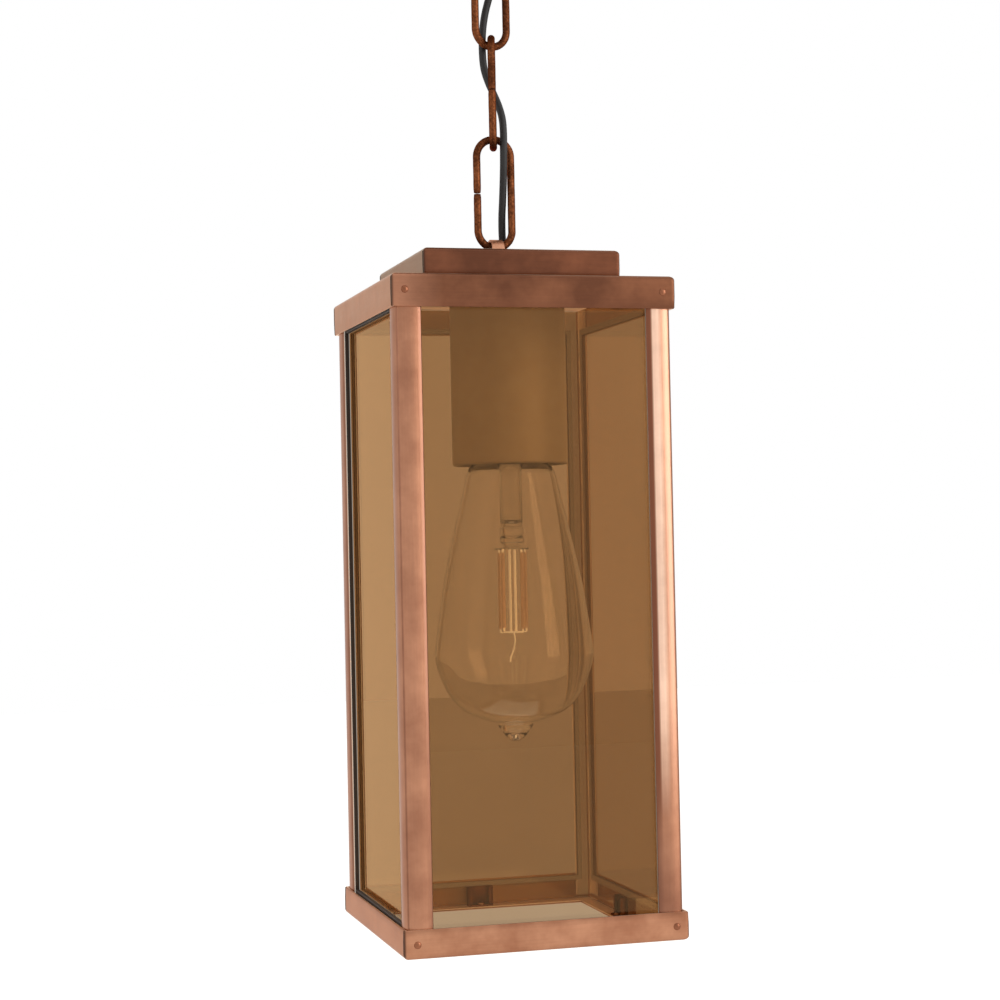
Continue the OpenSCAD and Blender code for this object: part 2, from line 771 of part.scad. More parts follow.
// half outline of the glass: depth below the contact and radius, scaled to the bulb's sizes
k_r = bulb_r / 32;
k_h = (bulb_h - 24) / 117;
bulb_outline = [
  [0, 11.8], [2, 11.9], [3.2, 12.6], [8, 17.4], [18, 20], [29.5, 22.8], [50, 27.4], [64, 29.7],
  [78, 31.7], [83, 32], [89, 30.5], [98, 26.6], [104.5, 20.6], [108, 13], [109.5, 8],
  [111.5, 6.6], [114.5, 4.4], [116.4, 2.2], [117, 0]
];

function bulb_curve(inset) = [for (p = smooth(bulb_outline, 3))
  [max(p[1] * k_r - inset, 0), neck_z - p[0] * k_h + (p[0] > 100 ? inset * (p[0] - 100) / 17 : 0)]];

module bulb_glass() {
  outer = bulb_curve(0);
  inner = bulb_curve(glass_wall);
  last = len(inner) - 1;
  color(clear_glass) on_lamp_axis() rotate_extrude() polygon(concat(
    outer, [for (i = [last - 3 : -1 : 0]) inner[i][0] < 0.3 ? [0, inner[i][1]] : inner[i]]));
}

module bulb_cap() {
  color(brass) on_lamp_axis() difference() {
    union() {
      drum(cap_low, contact_z - 5 - cap_low, cap_r);
      translate([0, 0, contact_z - 5]) cylinder(h = 3, r1 = cap_r, r2 = 8);
    }
    drum(cap_low - cut, contact_z - 6 - cap_low + cut, cap_r - 0.5);
    drum(contact_z - 7, 6, 7);
  }
}

module bulb_insulator() {
  color(black) on_lamp_axis() difference() {
    drum(contact_z - 6.8, 5.6, 6.95);
    drum(contact_z - 6.8 - cut, 8, 4.05);
  }
}

module bulb_contact() {
  color(zinc) on_lamp_axis() union() {
    drum(contact_z - 6.5, 5.5, 4);
    drum(contact_z - 1, 1, 3);
  }
}

module bulb_stem() {
  color(clear_glass) on_lamp_axis() difference() {
    union() {
      drum(stem_low + 10, neck_z - stem_low - 10.5, 4.5);
      drum(stem_low + 0.6, 9.4, 3.4);
      drum(stem_low, 0.6, 7);
      drum(neck_z - 2.5, 2, 10.4);
    }
    drum(stem_low + 11, neck_z - stem_low, 3.7);
  }
}

// four strips round a central pair of rods
module bulb_filaments() {
  color(phosphor) on_lamp_axis() for (turn = [20 : 90 : 290]) rotate([0, 0, turn])
    translate([6, -0.8, filament_low + 0.6]) cube([1, 1.6, filament_len - 0.6]);
}

module filament_supports() {
  color(zinc) on_lamp_axis() union() {
    for (side = [-1, 1]) translate([side * 1.1, 0, 0])
      drum(filament_low, filament_len, 0.55);
    drum(filament_low, 0.6, 7);
    drum(filament_low - 1.4, 1.5, 1.6);
  }
}

ceiling_bracket();
ceiling_canopy();
canopy_loop();
canopy_collar();
loop_nuts();
canopy_grommet();
ceiling_terminal_block();
supply_cord_1();
supply_cord_2();
supply_cord_3();
supply_cord_4();
chain_link_3();
chain_link_2();
chain_link_1();
hanger_staple();
staple_rivets();
crown_box();
crown_screws();
crown_nuts();
crown_grommet();
cord_clamp();
clamp_screws();
crown_terminal_block();
terminal_screws();
lamp_wires();
earth_wire();
earth_screw();
roof_cap();
cap_rivets();
post_front_left();
post_front_right();
post_back_left();
post_back_right();
pane_front();
pane_back();
pane_left();
pane_right();
seal_front();
seal_back();
seal_left();
seal_right();
bottom_frame();
frame_rivets();
pane_clips();
clip_rivets();
holder_cup();
holder_nipple();
nipple_nuts();
lampholder_dome();
lampholder_body();
screw_shell();
centre_contact();
lampholder_screws();
bulb_glass();
bulb_cap();
bulb_contact();
bulb_stem();
bulb_filaments();
filament_supports();
bulb_insulator();
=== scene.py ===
# %% [markdown]
# A hanging lantern: a tall body of folded copper sheet with four bronze panes, on a short chain below a
# square ceiling fitting. The frame holds one node for each part and the bodies that the joints move. This
# lesson gives each part its final shape and finish. The frame comes first, because every piece rides on it.

# %% Frame and tools
import math

import bmesh
import bpy
from mathutils import Matrix, Vector


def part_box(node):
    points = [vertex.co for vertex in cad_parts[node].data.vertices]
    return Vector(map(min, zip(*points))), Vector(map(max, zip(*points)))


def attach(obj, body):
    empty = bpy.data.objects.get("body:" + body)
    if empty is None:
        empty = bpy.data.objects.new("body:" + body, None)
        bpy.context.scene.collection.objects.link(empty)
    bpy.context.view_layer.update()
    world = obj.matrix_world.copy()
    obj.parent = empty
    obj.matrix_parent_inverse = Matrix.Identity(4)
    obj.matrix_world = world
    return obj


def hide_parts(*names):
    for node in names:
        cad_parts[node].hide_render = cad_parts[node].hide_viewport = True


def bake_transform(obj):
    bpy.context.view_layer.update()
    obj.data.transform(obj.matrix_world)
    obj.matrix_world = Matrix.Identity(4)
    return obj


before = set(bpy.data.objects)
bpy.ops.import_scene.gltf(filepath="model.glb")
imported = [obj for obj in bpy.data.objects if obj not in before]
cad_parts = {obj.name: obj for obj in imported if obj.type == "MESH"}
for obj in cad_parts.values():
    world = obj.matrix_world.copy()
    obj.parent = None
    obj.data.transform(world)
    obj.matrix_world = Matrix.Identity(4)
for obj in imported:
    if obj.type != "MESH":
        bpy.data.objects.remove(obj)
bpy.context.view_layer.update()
print("cad nodes:", len(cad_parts))

# %% [markdown]
# All shapes below are worked out in millimetres, as a metalworker would, and turned into metres once, when
# the mesh is made. A ring is a closed row of points, and a loft joins rings of equal length. Almost every
# part here, from a folded tray to a lamp glass, is such a loft, and this keeps the walls closed and even.

# %% Rings and lofts
MM = 0.001


def size_of(node):
    """Lowest and highest corner of a CAD node in millimetres."""
    low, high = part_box(node)
    return Vector(low) / MM, Vector(high) / MM


def full_turn(count):
    """The angles of a whole turn in equal steps."""
    return [2 * math.pi * k / count for k in range(count)]


def directions(path):
    """The unit direction of a path at each of its points."""
    spots = [Vector(p) for p in path]
    last = len(spots) - 1
    return [(spots[min(i + 1, last)] - spots[max(i - 1, 0)]).normalized() for i in range(last + 1)]


class Shape:
    """Points in millimetres and faces, gathered from one or more closed shells."""

    def __init__(self):
        self.points = []
        self.faces = []

    def shell(self, points, faces):
        first = len(self.points)
        self.points += [Vector(p) for p in points]
        self.faces += [tuple(first + i for i in face) for face in faces]
        return self

    def loft(self, rings, wrap=False):
        """Joins rings in order; with wrap the last ring meets the first, or else both ends are closed."""
        n = len(rings[0])
        count = len(rings)
        faces = []
        for i in range(count if wrap else count - 1):
            a = i * n
            b = (i + 1) % count * n
            faces += [(a + k, a + (k + 1) % n, b + (k + 1) % n, b + k) for k in range(n)]
        if not wrap:
            faces.append(tuple(range(n - 1, -1, -1)))
            faces.append(tuple(range((count - 1) * n, count * n)))
        return self.shell([p for ring in rings for p in ring], faces)

    def lathe(self, profile, x=0.0, y=0.0, sides=64, wrap=False):
        """Turns (radius, height) points about a vertical axis at x, y."""
        turns = full_turn(sides)
        rings = [[(x + r * math.cos(a), y + r * math.sin(a), z) for a in turns] for r, z in profile]
        return self.loft(rings, wrap)

    def turned(self, quarters):
        """A copy of the shape in each of the given quarter turns about the Z axis."""
        done = Shape()
        for quarter in quarters:
            turn = Matrix.Rotation(quarter * math.pi / 2, 3, "Z")
            done.shell([turn @ p for p in self.points], self.faces)
        return done


def arc(x, y, r, start, end, steps):
    """Points on an arc, angles in degrees."""
    turns = [math.radians(start + (end - start) * i / steps) for i in range(steps + 1)]
    return [(x + r * math.cos(a), y + r * math.sin(a)) for a in turns]


# %% [markdown]
# A mesh becomes a piece in one place: its doubles are merged, its faces are turned outwards, and edges
# sharper than a chosen angle stay crisp while the rest is shaded smooth. The piece then takes its finish,
# hides the CAD nodes it stands for, and rides on a body of the frame when one is given.

# %% Meshes and pieces
pieces_made = []


def mesh_from(shape, name, sharp=32.0):
    work = bmesh.new()
    corners = [work.verts.new(p * MM) for p in shape.points]
    for face in shape.faces:
        work.faces.new([corners[i] for i in face])
    bmesh.ops.remove_doubles(work, verts=work.verts, dist=2e-6)
    bmesh.ops.dissolve_degenerate(work, edges=work.edges, dist=1e-7)
    bmesh.ops.recalc_face_normals(work, faces=work.faces)
    mesh = bpy.data.meshes.new(name)
    work.to_mesh(mesh)
    work.free()
    mesh.shade_smooth()
    mesh.set_sharp_from_angle(angle=math.radians(sharp))
    return mesh


def piece_of(mesh, name, body, finish, nodes):
    """An object for a finished mesh, in the place of the named CAD nodes."""
    mesh.materials.clear()
    mesh.materials.append(finish)
    piece = bpy.data.objects.new(name, mesh)
    bpy.context.scene.collection.objects.link(piece)
    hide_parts(*nodes)
    if body:
        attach(piece, body)
    pieces_made.append(name)
    return piece


def build(shape, name, body, slot, finish, *nodes, sharp=32.0):
    piece = piece_of(mesh_from(shape, name, sharp), name, body, finish, nodes)
    print(f"{name}: {len(piece.data.polygons)} faces")
    return piece


# %% [markdown]
# Shader and geometry trees are written as sums and products. A Value wraps one socket of a node, and the
# usual signs between Values add Math nodes. Any other node comes from Net.node, which takes the node's
# type, its settings, and what goes into its sockets. The same two classes serve both kinds of tree.

# %% Values and nets
class Value:
    """One output socket of a net."""

    def __init__(self, net, socket):
        self.net = net
        self.socket = socket

    def out(self, name):
        return Value(self.net, self.socket.node.outputs[name])

    def math(self, operation, first, second=0.0):
        return self.net.node("ShaderNodeMath", {"operation": operation}, {0: first, 1: second})

    def __add__(self, other):
        return self.math("ADD", self, other)

    def __radd__(self, other):
        return self.math("ADD", other, self)

    def __sub__(self, other):
        return self.math("SUBTRACT", self, other)

    def __rsub__(self, other):
        return self.math("SUBTRACT", other, self)

    def __mul__(self, other):
        return self.math("MULTIPLY", self, other)

    def __rmul__(self, other):
        return self.math("MULTIPLY", other, self)

    def __truediv__(self, other):
        return self.math("DIVIDE", self, other)

    def __abs__(self):
        return self.math("ABSOLUTE", self)

    def least(self, other):
        return self.math("MINIMUM", self, other)

    def most(self, other):
        return self.math("MAXIMUM", self, other)

    def limit(self, low=0.0, high=1.0):
        return self.most(low).least(high)

    def sine(self):
        return self.math("SINE", self)

    def cosine(self):
        return self.math("COSINE", self)


class Net:
    """Builds nodes in one tree."""

    def __init__(self, tree):
        self.tree = tree

    def node(self, kind, settings=None, values=None, out=0):
        made = self.tree.nodes.new(kind)
        for name, setting in (settings or {}).items():
            if name == "ramp":
                stops = made.color_ramp.elements
                while len(stops) < len(setting):
                    stops.new(0.5)
                for stop, (place, tone) in zip(stops, setting):
                    stop.position = place
                    stop.color = tone
            else:
                setattr(made, name, setting)
        for key, value in (values or {}).items():
            if isinstance(value, Value):
                self.tree.links.new(value.socket, made.inputs[key])
            elif value is not None:
                made.inputs[key].default_value = value
        return Value(self, made.outputs[out]) if made.outputs else made

    def blend(self, factor, first, second):
        """Mixes two colours."""
        return self.node("ShaderNodeMix", {"data_type": "RGBA"}, {0: factor, 6: first, 7: second}, 2)

    def vector(self, operation, first, second):
        return self.node("ShaderNodeVectorMath", {"operation": operation}, {0: first, 1: second})

    def noise(self, place, scale, detail=3.0, roughness=0.5):
        sockets = {"Vector": place, "Scale": scale, "Detail": detail, "Roughness": roughness}
        return self.node("ShaderNodeTexNoise", None, sockets, "Fac")


def tone(red, green, blue):
    """A colour on the 0 to 255 scale of a colour chart, as linear values."""
    parts = [c / 255 for c in (red, green, blue)]
    return tuple(c / 12.92 if c <= 0.04045 else ((c + 0.055) / 1.055) ** 2.4 for c in parts) + (1.0,)


class Finish(Net):
    """A material with one Principled shader; place holds the point in metres."""

    def __init__(self, name):
        self.material = bpy.data.materials.new(name)
        self.material.use_nodes = True
        super().__init__(self.material.node_tree)
        self.tree.nodes.clear()
        self.place = self.node("ShaderNodeTexCoord", out="Object")
        split = self.node("ShaderNodeSeparateXYZ", None, {0: self.place})
        self.x = split
        self.y = split.out("Y")
        self.z = split.out("Z")

    def stretched(self, scale):
        """The point with each direction scaled, for grain and brush lines."""
        return self.vector("MULTIPLY", self.place, scale)

    def bump(self, height, distance, normal=None):
        sockets = {"Height": height, "Distance": distance, "Strength": 1.0, "Normal": normal}
        return self.node("ShaderNodeBump", None, sockets)

    def finish(self, sockets):
        """Ends the material with its one shader."""
        surface = self.node("ShaderNodeBsdfPrincipled", None, sockets)
        self.node("ShaderNodeOutputMaterial", None, {"Surface": surface})
        return self.material


print("shader helpers ready")

# %% [markdown]
# The sheet is antique copper: polished, darkened with a patina, then brushed back by hand and lacquered. So
# there are four layers to show. Brush lines run along each strip and cloudy patina lies over them. The patina
# colour is deeper next to folded edges, where it also stands in as painted shade, and the left part of the
# roof is painted lighter, a painted sheen of the light from the left.
# The lacquer is a thin coat over all of it. The sheet is also never quite flat, which a broad, very shallow
# bump gives to its reflections.
#
# A post has painted light of its own: painted shade at the foot of the right posts, a painted dark line
# beside its fold, painted shade along its dressed edges, and on the front right post a painted pale
# highlight with a painted shade strip next to it. Faces on the inside of the sheet are painted pale and given
# a faint painted glow, because they are seen through bronze panes, and a thin glowing glint on a post's inner
# corner stands for the light that comes out of the ground edges of the panes.

# %% Copper sheet
BRUSH_ALONG = (60.0, 60.0, 1900.0)
BRUSH_UP = (1900.0, 1900.0, 60.0)
BLACK = (0.0, 0.0, 0.0, 1.0)
WHITE = (1.0, 1.0, 1.0, 1.0)
GLINT = (1.7, 1.6, 1.35, 1.0)
PATINA = tone(96, 54, 34)
END_SHEEN_TONE = tone(196, 138, 108)
SEAM_SHADE = tone(52, 27, 17)
FOOT_SHADE_TONE = tone(112, 64, 42)
FOLD_SHADE_TONE = tone(104, 58, 36)
PAINTED_HIGHLIGHT_TONE = tone(244, 206, 180)
SHADE_STRIP_TONE = tone(112, 57, 29)
INSIDE_PAINTED_PALE = tone(240, 222, 196)


def post_marks(net, colour, across, blotches, low, reach):
    """The painted shade at the foot of a right post and beside the fold of any post, and the painted
    highlight and painted shade strip of the front right one.
    """
    # Painted shade: the foot of the right posts is darker.
    foot_shade = ((low + 0.055 - net.z) * 26.0).limit() * (net.x * 900.0).limit()
    colour = net.blend(foot_shade * (0.35 + 0.3 * blotches), colour, FOOT_SHADE_TONE)
    # Painted shade: a dark line beside the post's fold.
    fold_shade = (1.0 - abs(across + 0.0004 * blotches - 0.0541) * 1900.0).limit()
    colour = net.blend(fold_shade * 0.75, colour, FOLD_SHADE_TONE)
    # Painted highlight: a pale zone on the front face of the front right post.
    front = (net.x * 900.0).limit() * ((-reach - net.y) * 3000.0).limit()
    wide = ((across - 0.046) * 1200.0).limit()
    painted_highlight = front * wide * ((net.z - low - 0.045) * 22.0).limit() * (0.6 + 0.4 * blotches)
    painted_highlight = painted_highlight * (1.0 - 0.85 * ((across - 0.0488) * 600.0).limit())
    colour = net.blend(painted_highlight * 0.95, colour, PAINTED_HIGHLIGHT_TONE)
    # Painted shade: a dark strip beside the painted highlight, on the post's inner edge.
    shade_strip = front * (1.0 - wide) * ((net.z - low - 0.03) * 30.0).limit()
    return net.blend(shade_strip * 0.85, colour, SHADE_STRIP_TONE)


def inside_faces(net, colour, inner, glow, across, blotches):
    """The colour with the inside faces painted pale, and their painted glow; across is given for a post only.
    """
    reach, edge, side = inner
    # Painted light: the inside faces are made pale and given a glow.
    within = ((reach - abs(net.x).most(abs(net.y))).least((net.z - edge) * side) * 3000.0).limit()
    if across:
        within = within * ((0.053 - across) * 2000.0).limit()
    glowing = net.blend(within, BLACK, glow)
    if across:
        glint = within * (1.0 - abs(across - 0.0526) * 4000.0).limit() * ((blotches - 0.4) * 8.0).limit()
        glowing = net.blend(glint, glowing, GLINT)
    return net.blend(within, colour, INSIDE_PAINTED_PALE), glowing


def copper_sheet(name, light, dark, low, high, brush=BRUSH_ALONG, ends=0.0, hem=0.0, half=0.0, inner=None,
                 glance=(0.84, 0.56, 0.43, 1.0), glow=BLACK, coat=0.25):
    """Copper between two heights in metres.

    ends sets how much the left part is painted lighter, a painted sheen; hem is where a post's dressed edge
    begins, with painted shade up to it; and half is the half width of a tray with seams. inner holds the
    reach, the height and the side of it that bound the inside faces, which are painted pale, and glow is
    their painted glow. glance is the tint of highlights, and coat is the weight of the lacquer.
    """
    net = Finish(name)
    cloud = net.noise(net.place, 42.0, 4.0, 0.62)
    cloud = ((cloud - 0.36) * 3.4).limit()
    speck = net.noise(net.place, 950.0, 2.0, 0.6)
    grain = net.noise(net.stretched(brush), 1.0, 3.0, 0.65)
    colour = net.blend(cloud, dark, light)
    # The patina colour is deeper next to the folded edges, where it also stands in as painted shade.
    fold = 1.0 - ((net.z - low).least(high - net.z) * 420.0).limit()
    blotches = net.noise(net.place, 110.0, 3.0, 0.6)
    patina_and_shade = (fold * (blotches * 1.5 - 0.2)).limit() * 0.6
    across = abs(net.x).least(abs(net.y)) if hem else None
    if hem:
        # Painted shade along a post's dressed edge next to the glass.
        patina_and_shade = patina_and_shade.most((1.0 - ((across - hem) * 480.0).limit()) * 0.62)
    colour = net.blend(patina_and_shade, colour, PATINA)
    if ends:
        # Painted sheen: the left part is made lighter, as if lit from the left.
        lightened = ((-0.036 - net.x) * 55.0).limit() * (0.4 + 0.6 * blotches) * ends
        colour = net.blend(lightened, colour, END_SHEEN_TONE)
    if half:
        behind = ((abs(net.y) - (half - 0.0027)) * 1500.0).limit()
        corner = behind * ((abs(net.x) - (half - 0.0008)) * 1500.0).limit()
        colour = net.blend(corner * 0.9, colour, SEAM_SHADE)
    if hem:
        colour = post_marks(net, colour, across, blotches, low, inner[0])
    glowing = None
    if inner:
        colour, glowing = inside_faces(net, colour, inner, glow, across, blotches)
    streak = (0.86 + 0.2 * grain + 0.08 * speck).limit(0.0, 1.12)
    shade = net.node("ShaderNodeCombineXYZ", None, {0: streak, 1: streak, 2: streak})
    colour = net.vector("MULTIPLY", colour, shade)
    dents = net.bump(net.noise(net.place, 17.0, 1.0, 0.4), 0.0007)
    normal = net.bump(grain + 0.4 * speck, 0.00002, dents)
    sockets = {"Base Color": colour, "Metallic": 0.94, "Roughness": 0.26 + 0.08 * cloud + 0.1 * grain,
               "Normal": normal, "Specular Tint": glance, "Coat Weight": coat, "Coat Roughness": 0.2,
               "Emission Color": glowing, "Emission Strength": 1.0 if inner else 0.0}
    return net.finish(sockets)


roof_low, roof_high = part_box("roof_cap")
crown_low, crown_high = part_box("crown_box")
band_low, band_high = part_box("bottom_frame")
post_low, post_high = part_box("post_front_left")
canopy_low, canopy_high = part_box("ceiling_canopy")
HALF_SHEET = 0.0005
roof_copper = copper_sheet("copper_roof", tone(123, 76, 51), tone(98, 57, 36), roof_low.z, roof_high.z,
                           ends=0.7, half=roof_high.x,
                           inner=(roof_high.x - HALF_SHEET, roof_high.z - HALF_SHEET, -1.0),
                           glance=(1.0, 0.74, 0.55, 1.0), glow=(0.32, 0.27, 0.23, 1.0))
crown_copper = copper_sheet("copper_crown", tone(118, 69, 45), tone(92, 51, 31), crown_low.z, crown_high.z,
                            half=crown_high.x, glance=(1.0, 0.8, 0.6, 1.0))
band_copper = copper_sheet("copper_band", tone(182, 129, 98), tone(153, 99, 71), band_low.z, band_high.z,
                           half=band_high.x,
                           inner=(band_high.x - HALF_SHEET, band_low.z + HALF_SHEET, 1.0),
                           glance=(0.78, 0.5, 0.37, 1.0), glow=(0.13, 0.08, 0.05, 1.0))
post_copper = copper_sheet("copper_posts", tone(178, 123, 92), tone(152, 99, 71), post_low.z, post_high.z,
                           BRUSH_UP, hem=0.0447, inner=(-post_low.x - 0.0008, -1.0, 1.0),
                           glance=(0.62, 0.4, 0.3, 1.0), glow=(0.44, 0.42, 0.38, 1.0), coat=0.55)
canopy_copper = copper_sheet("copper_canopy", tone(176, 120, 90), tone(146, 93, 66), canopy_low.z,
                             canopy_high.z, half=canopy_high.x)
small_copper = copper_sheet("copper_small", tone(190, 136, 106), tone(160, 108, 80), -1.0, 1.0)
rivet_copper = copper_sheet("copper_rivets", tone(146, 92, 64), tone(112, 64, 42), -1.0, 1.0)
print("copper finishes:", 7)

# %% [markdown]
# The chain is steel with a dark copper coat. The coat is rough from the dip, so the links look speckled,
# and it is rubbed to a lighter tone on the high grains. One noise drives colour, roughness and bump.

# %% Chain coat
def speckled_coat(name, light, dark):
    net = Finish(name)
    grain = net.noise(net.place, 1100.0, 4.0, 0.7)
    patch = net.noise(net.place, 120.0, 2.0, 0.5)
    lightened = ((grain * 0.7 + patch * 0.5 - 0.5) * 5.0).limit()
    colour = net.blend(lightened, dark, light)
    normal = net.bump(grain, 0.00016)
    sockets = {"Base Color": colour, "Metallic": 0.96, "Roughness": 0.42 + 0.22 * (1.0 - lightened),
               "Normal": normal, "Specular Tint": (0.5, 0.3, 0.2, 1.0)}
    return net.finish(sockets)


chain_coat = speckled_coat("chain_coat", tone(120, 69, 41), tone(80, 43, 24))

# %% [markdown]
# The hidden hardware is zinc plated steel and turned brass, and the bulb's cap is nickel. The bulb's wires
# and the cup are painted pale, and the wires glow a little, as painted light that makes up for the bronze
# panes they are seen through. All are plain metals with fine scratches, so one helper serves them: a colour
# that shifts a little in patches, and scratches in the bump.

# %% Plated and turned metals
def plain_metal(name, light, dark, rough, metallic=1.0, glow=0.0):
    net = Finish(name)
    patch = net.noise(net.place, 160.0, 3.0, 0.6)
    scratch = net.noise(net.stretched((300.0, 2600.0, 2600.0)), 1.0, 2.0, 0.7)
    colour = net.blend(patch, dark, light)
    normal = net.bump(scratch, 0.00001)
    sockets = {"Base Color": colour, "Metallic": metallic, "Roughness": rough + 0.15 * patch,
               "Normal": normal, "Emission Color": light, "Emission Strength": glow}
    return net.finish(sockets)


zinc = plain_metal("zinc_plate", tone(206, 207, 208), tone(168, 170, 174), 0.28)
brass = plain_metal("turned_brass", tone(214, 180, 104), tone(182, 146, 78), 0.24)
nickel = plain_metal("bulb_nickel", tone(214, 206, 188), tone(176, 166, 146), 0.2)
# Painted light: the wires are pale with a faint glow, and the cup is painted pale.
rod_metal = plain_metal("rod_metal", tone(250, 236, 206), tone(226, 208, 176), 0.3, 0.7, 0.6)
cup_metal = plain_metal("cup_metal", tone(224, 212, 188), tone(208, 192, 166), 0.55, 0.3)

# %% [markdown]
# Rubber, moulded plastic, cord sheath and glazed porcelain are not metals. Their colour changes very little,
# and what tells them apart is gloss: rubber is dull with dust in its pores, the cord has a soft sheen, the
# plastic shows a fine moulded grain, and the porcelain has a glaze over a faint orange peel.

# %% Rubber, plastic, sheath and porcelain
def dull_skin(name, light, dark, pores, depth, rough, coat=0.0, lit_below=0.0):
    """A matt skin; with lit_below, what lies nearer to the lantern's middle than that gets a faint painted
    glow.
    """
    net = Finish(name)
    pore = net.noise(net.place, pores, 3.0, 0.6)
    dust = net.noise(net.place, 90.0, 4.0, 0.6)
    colour = net.blend((dust * pore * 2.2).limit(), dark, light)
    normal = net.bump(pore, depth)
    sockets = {"Base Color": colour, "Roughness": rough + 0.2 * (dust - 0.5), "Normal": normal,
               "Coat Weight": coat, "Coat Roughness": 0.08}
    if lit_below:
        # Painted light: the seal's inner part glows faintly.
        within = ((lit_below - abs(net.x).most(abs(net.y))) * 5000.0).limit()
        sockets["Emission Color"] = net.blend(within, BLACK, (0.4, 0.37, 0.32, 1.0))
        sockets["Emission Strength"] = 1.0
    return net.finish(sockets)


RUBBER_LOOK = (tone(52, 38, 28), tone(24, 17, 13), 1400.0, 0.00003, 0.62)
rubber = dull_skin("ring_rubber", *RUBBER_LOOK)
seal_rubber = dull_skin("seal_rubber", *RUBBER_LOOK, lit_below=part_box("seal_back")[0].y + 0.0004)
plastic = dull_skin("moulded_black", tone(44, 42, 42), tone(24, 23, 23), 2200.0, 0.00002, 0.5)
sheath = dull_skin("cord_sheath", tone(24, 16, 12), tone(9, 6, 4), 700.0, 0.00004, 0.6)
wire_skin = dull_skin("wire_sheath", tone(128, 84, 52), tone(96, 60, 36), 900.0, 0.00002, 0.45)
porcelain = dull_skin("glazed_porcelain", tone(240, 236, 226), tone(226, 220, 208), 260.0, 0.00003, 0.4, 0.8)

# %% [markdown]
# The panes are float glass coloured bronze all through, with a thin mirror coat of the same colour. So two
# shaders make them: one bends light and tints it at each face, one mirrors it in bronze, and a Fresnel node
# decides between them, which gives a weak mirror from the front and a strong one at a low angle. The bulb is
# clear glass and needs only a Principled shader. Lamps shine through the shadow of both.

# %% Glass
def let_lamps_through(net, surface, colour):
    shade = net.node("ShaderNodeLightPath", out="Is Shadow Ray")
    through = net.node("ShaderNodeBsdfTransparent", None, {"Color": colour})
    return net.node("ShaderNodeMixShader", None, {0: shade, 1: surface, 2: through})


def bronze_pane(name, mirror, ior):
    net = Finish(name)
    wipe = net.noise(net.stretched((1.0, 1.0, 0.35)), 26.0, 3.0, 0.55)
    wipe = ((wipe - 0.35) * 2.6).limit()
    body = net.blend(wipe, (0.733, 0.617, 0.484, 1.0), (0.749, 0.633, 0.5, 1.0))
    bent = net.node("ShaderNodeBsdfRefraction", None, {"Color": body, "IOR": ior, "Roughness": 0.0})
    mirrored = net.node("ShaderNodeBsdfAnisotropic", None, {"Color": mirror, "Roughness": 0.0})
    share = net.node("ShaderNodeFresnel", None, {"IOR": ior})
    surface = net.node("ShaderNodeMixShader", None, {0: share, 1: bent, 2: mirrored})
    surface = let_lamps_through(net, surface, (0.88, 0.78, 0.64, 1.0))
    net.node("ShaderNodeOutputMaterial", None, {"Surface": surface})
    return net.material


bronze_glass = bronze_pane("bronze_glass", (0.78, 0.5, 0.26, 1.0), 1.56)
lamp_net = Finish("lamp_glass")
film = lamp_net.noise(lamp_net.place, 60.0, 2.0, 0.5)
lamp_wall = lamp_net.node("ShaderNodeBsdfPrincipled", None, {
    "Base Color": lamp_net.blend(film, (0.97, 0.95, 0.92, 1.0), (1.0, 0.99, 0.97, 1.0)), "Roughness": 0.0,
    "IOR": 1.48, "Transmission Weight": 1.0})
lamp_wall = let_lamps_through(lamp_net, lamp_wall, (0.96, 0.95, 0.93, 1.0))
lamp_net.node("ShaderNodeOutputMaterial", None, {"Surface": lamp_wall})
lamp_glass = lamp_net.material


def coated_strip(name):
    """The filaments: a ceramic strip under a bumpy yellow coat, which is given a faint painted glow."""
    net = Finish(name)
    bead = net.noise(net.stretched((1.0, 1.0, 0.6)), 1500.0, 2.0, 0.5)
    colour = net.blend(bead, tone(206, 166, 128), tone(222, 184, 146))
    sockets = {"Base Color": colour, "Roughness": 0.45 + 0.2 * bead, "Normal": net.bump(bead, 0.00005),
               "Emission Color": colour, "Emission Strength": 0.32}
    return net.finish(sockets)


phosphor = coated_strip("filament_coat")
print("materials:", len(bpy.data.materials))

# %% [markdown]
# The roof, the crown, the bottom frame and the ceiling canopy are all trays folded from one sheet. A tray is
# lofted from rounded squares: each ring stands at a chosen inset and height of the sheet's profile. The front
# and back bands cover the ends of the side bands, which leaves a fine dark seam just round each corner, so
# every ring carries two extra notches on its left and right sides.

# %% Folded trays
SEAM_WIDTH = 1.0
SEAM_DEPTH = 0.7
SEAM_STOP = 1.7
BEND = 1.8
THICK = 1.0


def tray_ring(half, inset, z, corner, seam_y, seam_depth):
    """Rounded square with notches in its two sides, from its front right corner on."""
    reach = half - inset
    r = min(corner, reach)
    rows = []
    for quarter in range(4):
        row = arc(reach - r, reach - r, r, 0, 90, 4)
        turn = math.radians(90 * quarter)
        spin = [(x * math.cos(turn) - y * math.sin(turn), x * math.sin(turn) + y * math.cos(turn))
                for x, y in row]
        rows.append(spin)
    straight = reach - r
    notch = []
    for y, depth in ((seam_y + SEAM_WIDTH / 2, 0), (seam_y + SEAM_WIDTH / 2, seam_depth),
                     (seam_y - SEAM_WIDTH / 2, seam_depth), (seam_y - SEAM_WIDTH / 2, 0)):
        notch.append((reach - depth, min(y, straight)))
    left = [(-x, y) for x, y in notch]
    right_side = [(x, -y) for x, y in notch] + notch[::-1]
    left_side = left + [(x, -y) for x, y in reversed(left)]
    flat = straight - 1.0
    back_side = [(flat, reach), (-flat, reach)]
    front_side = [(-flat, -reach), (flat, -reach)]
    points = rows[0] + back_side + rows[1] + left_side + rows[2] + front_side + rows[3] + right_side
    return [(x, y, z) for x, y in points]


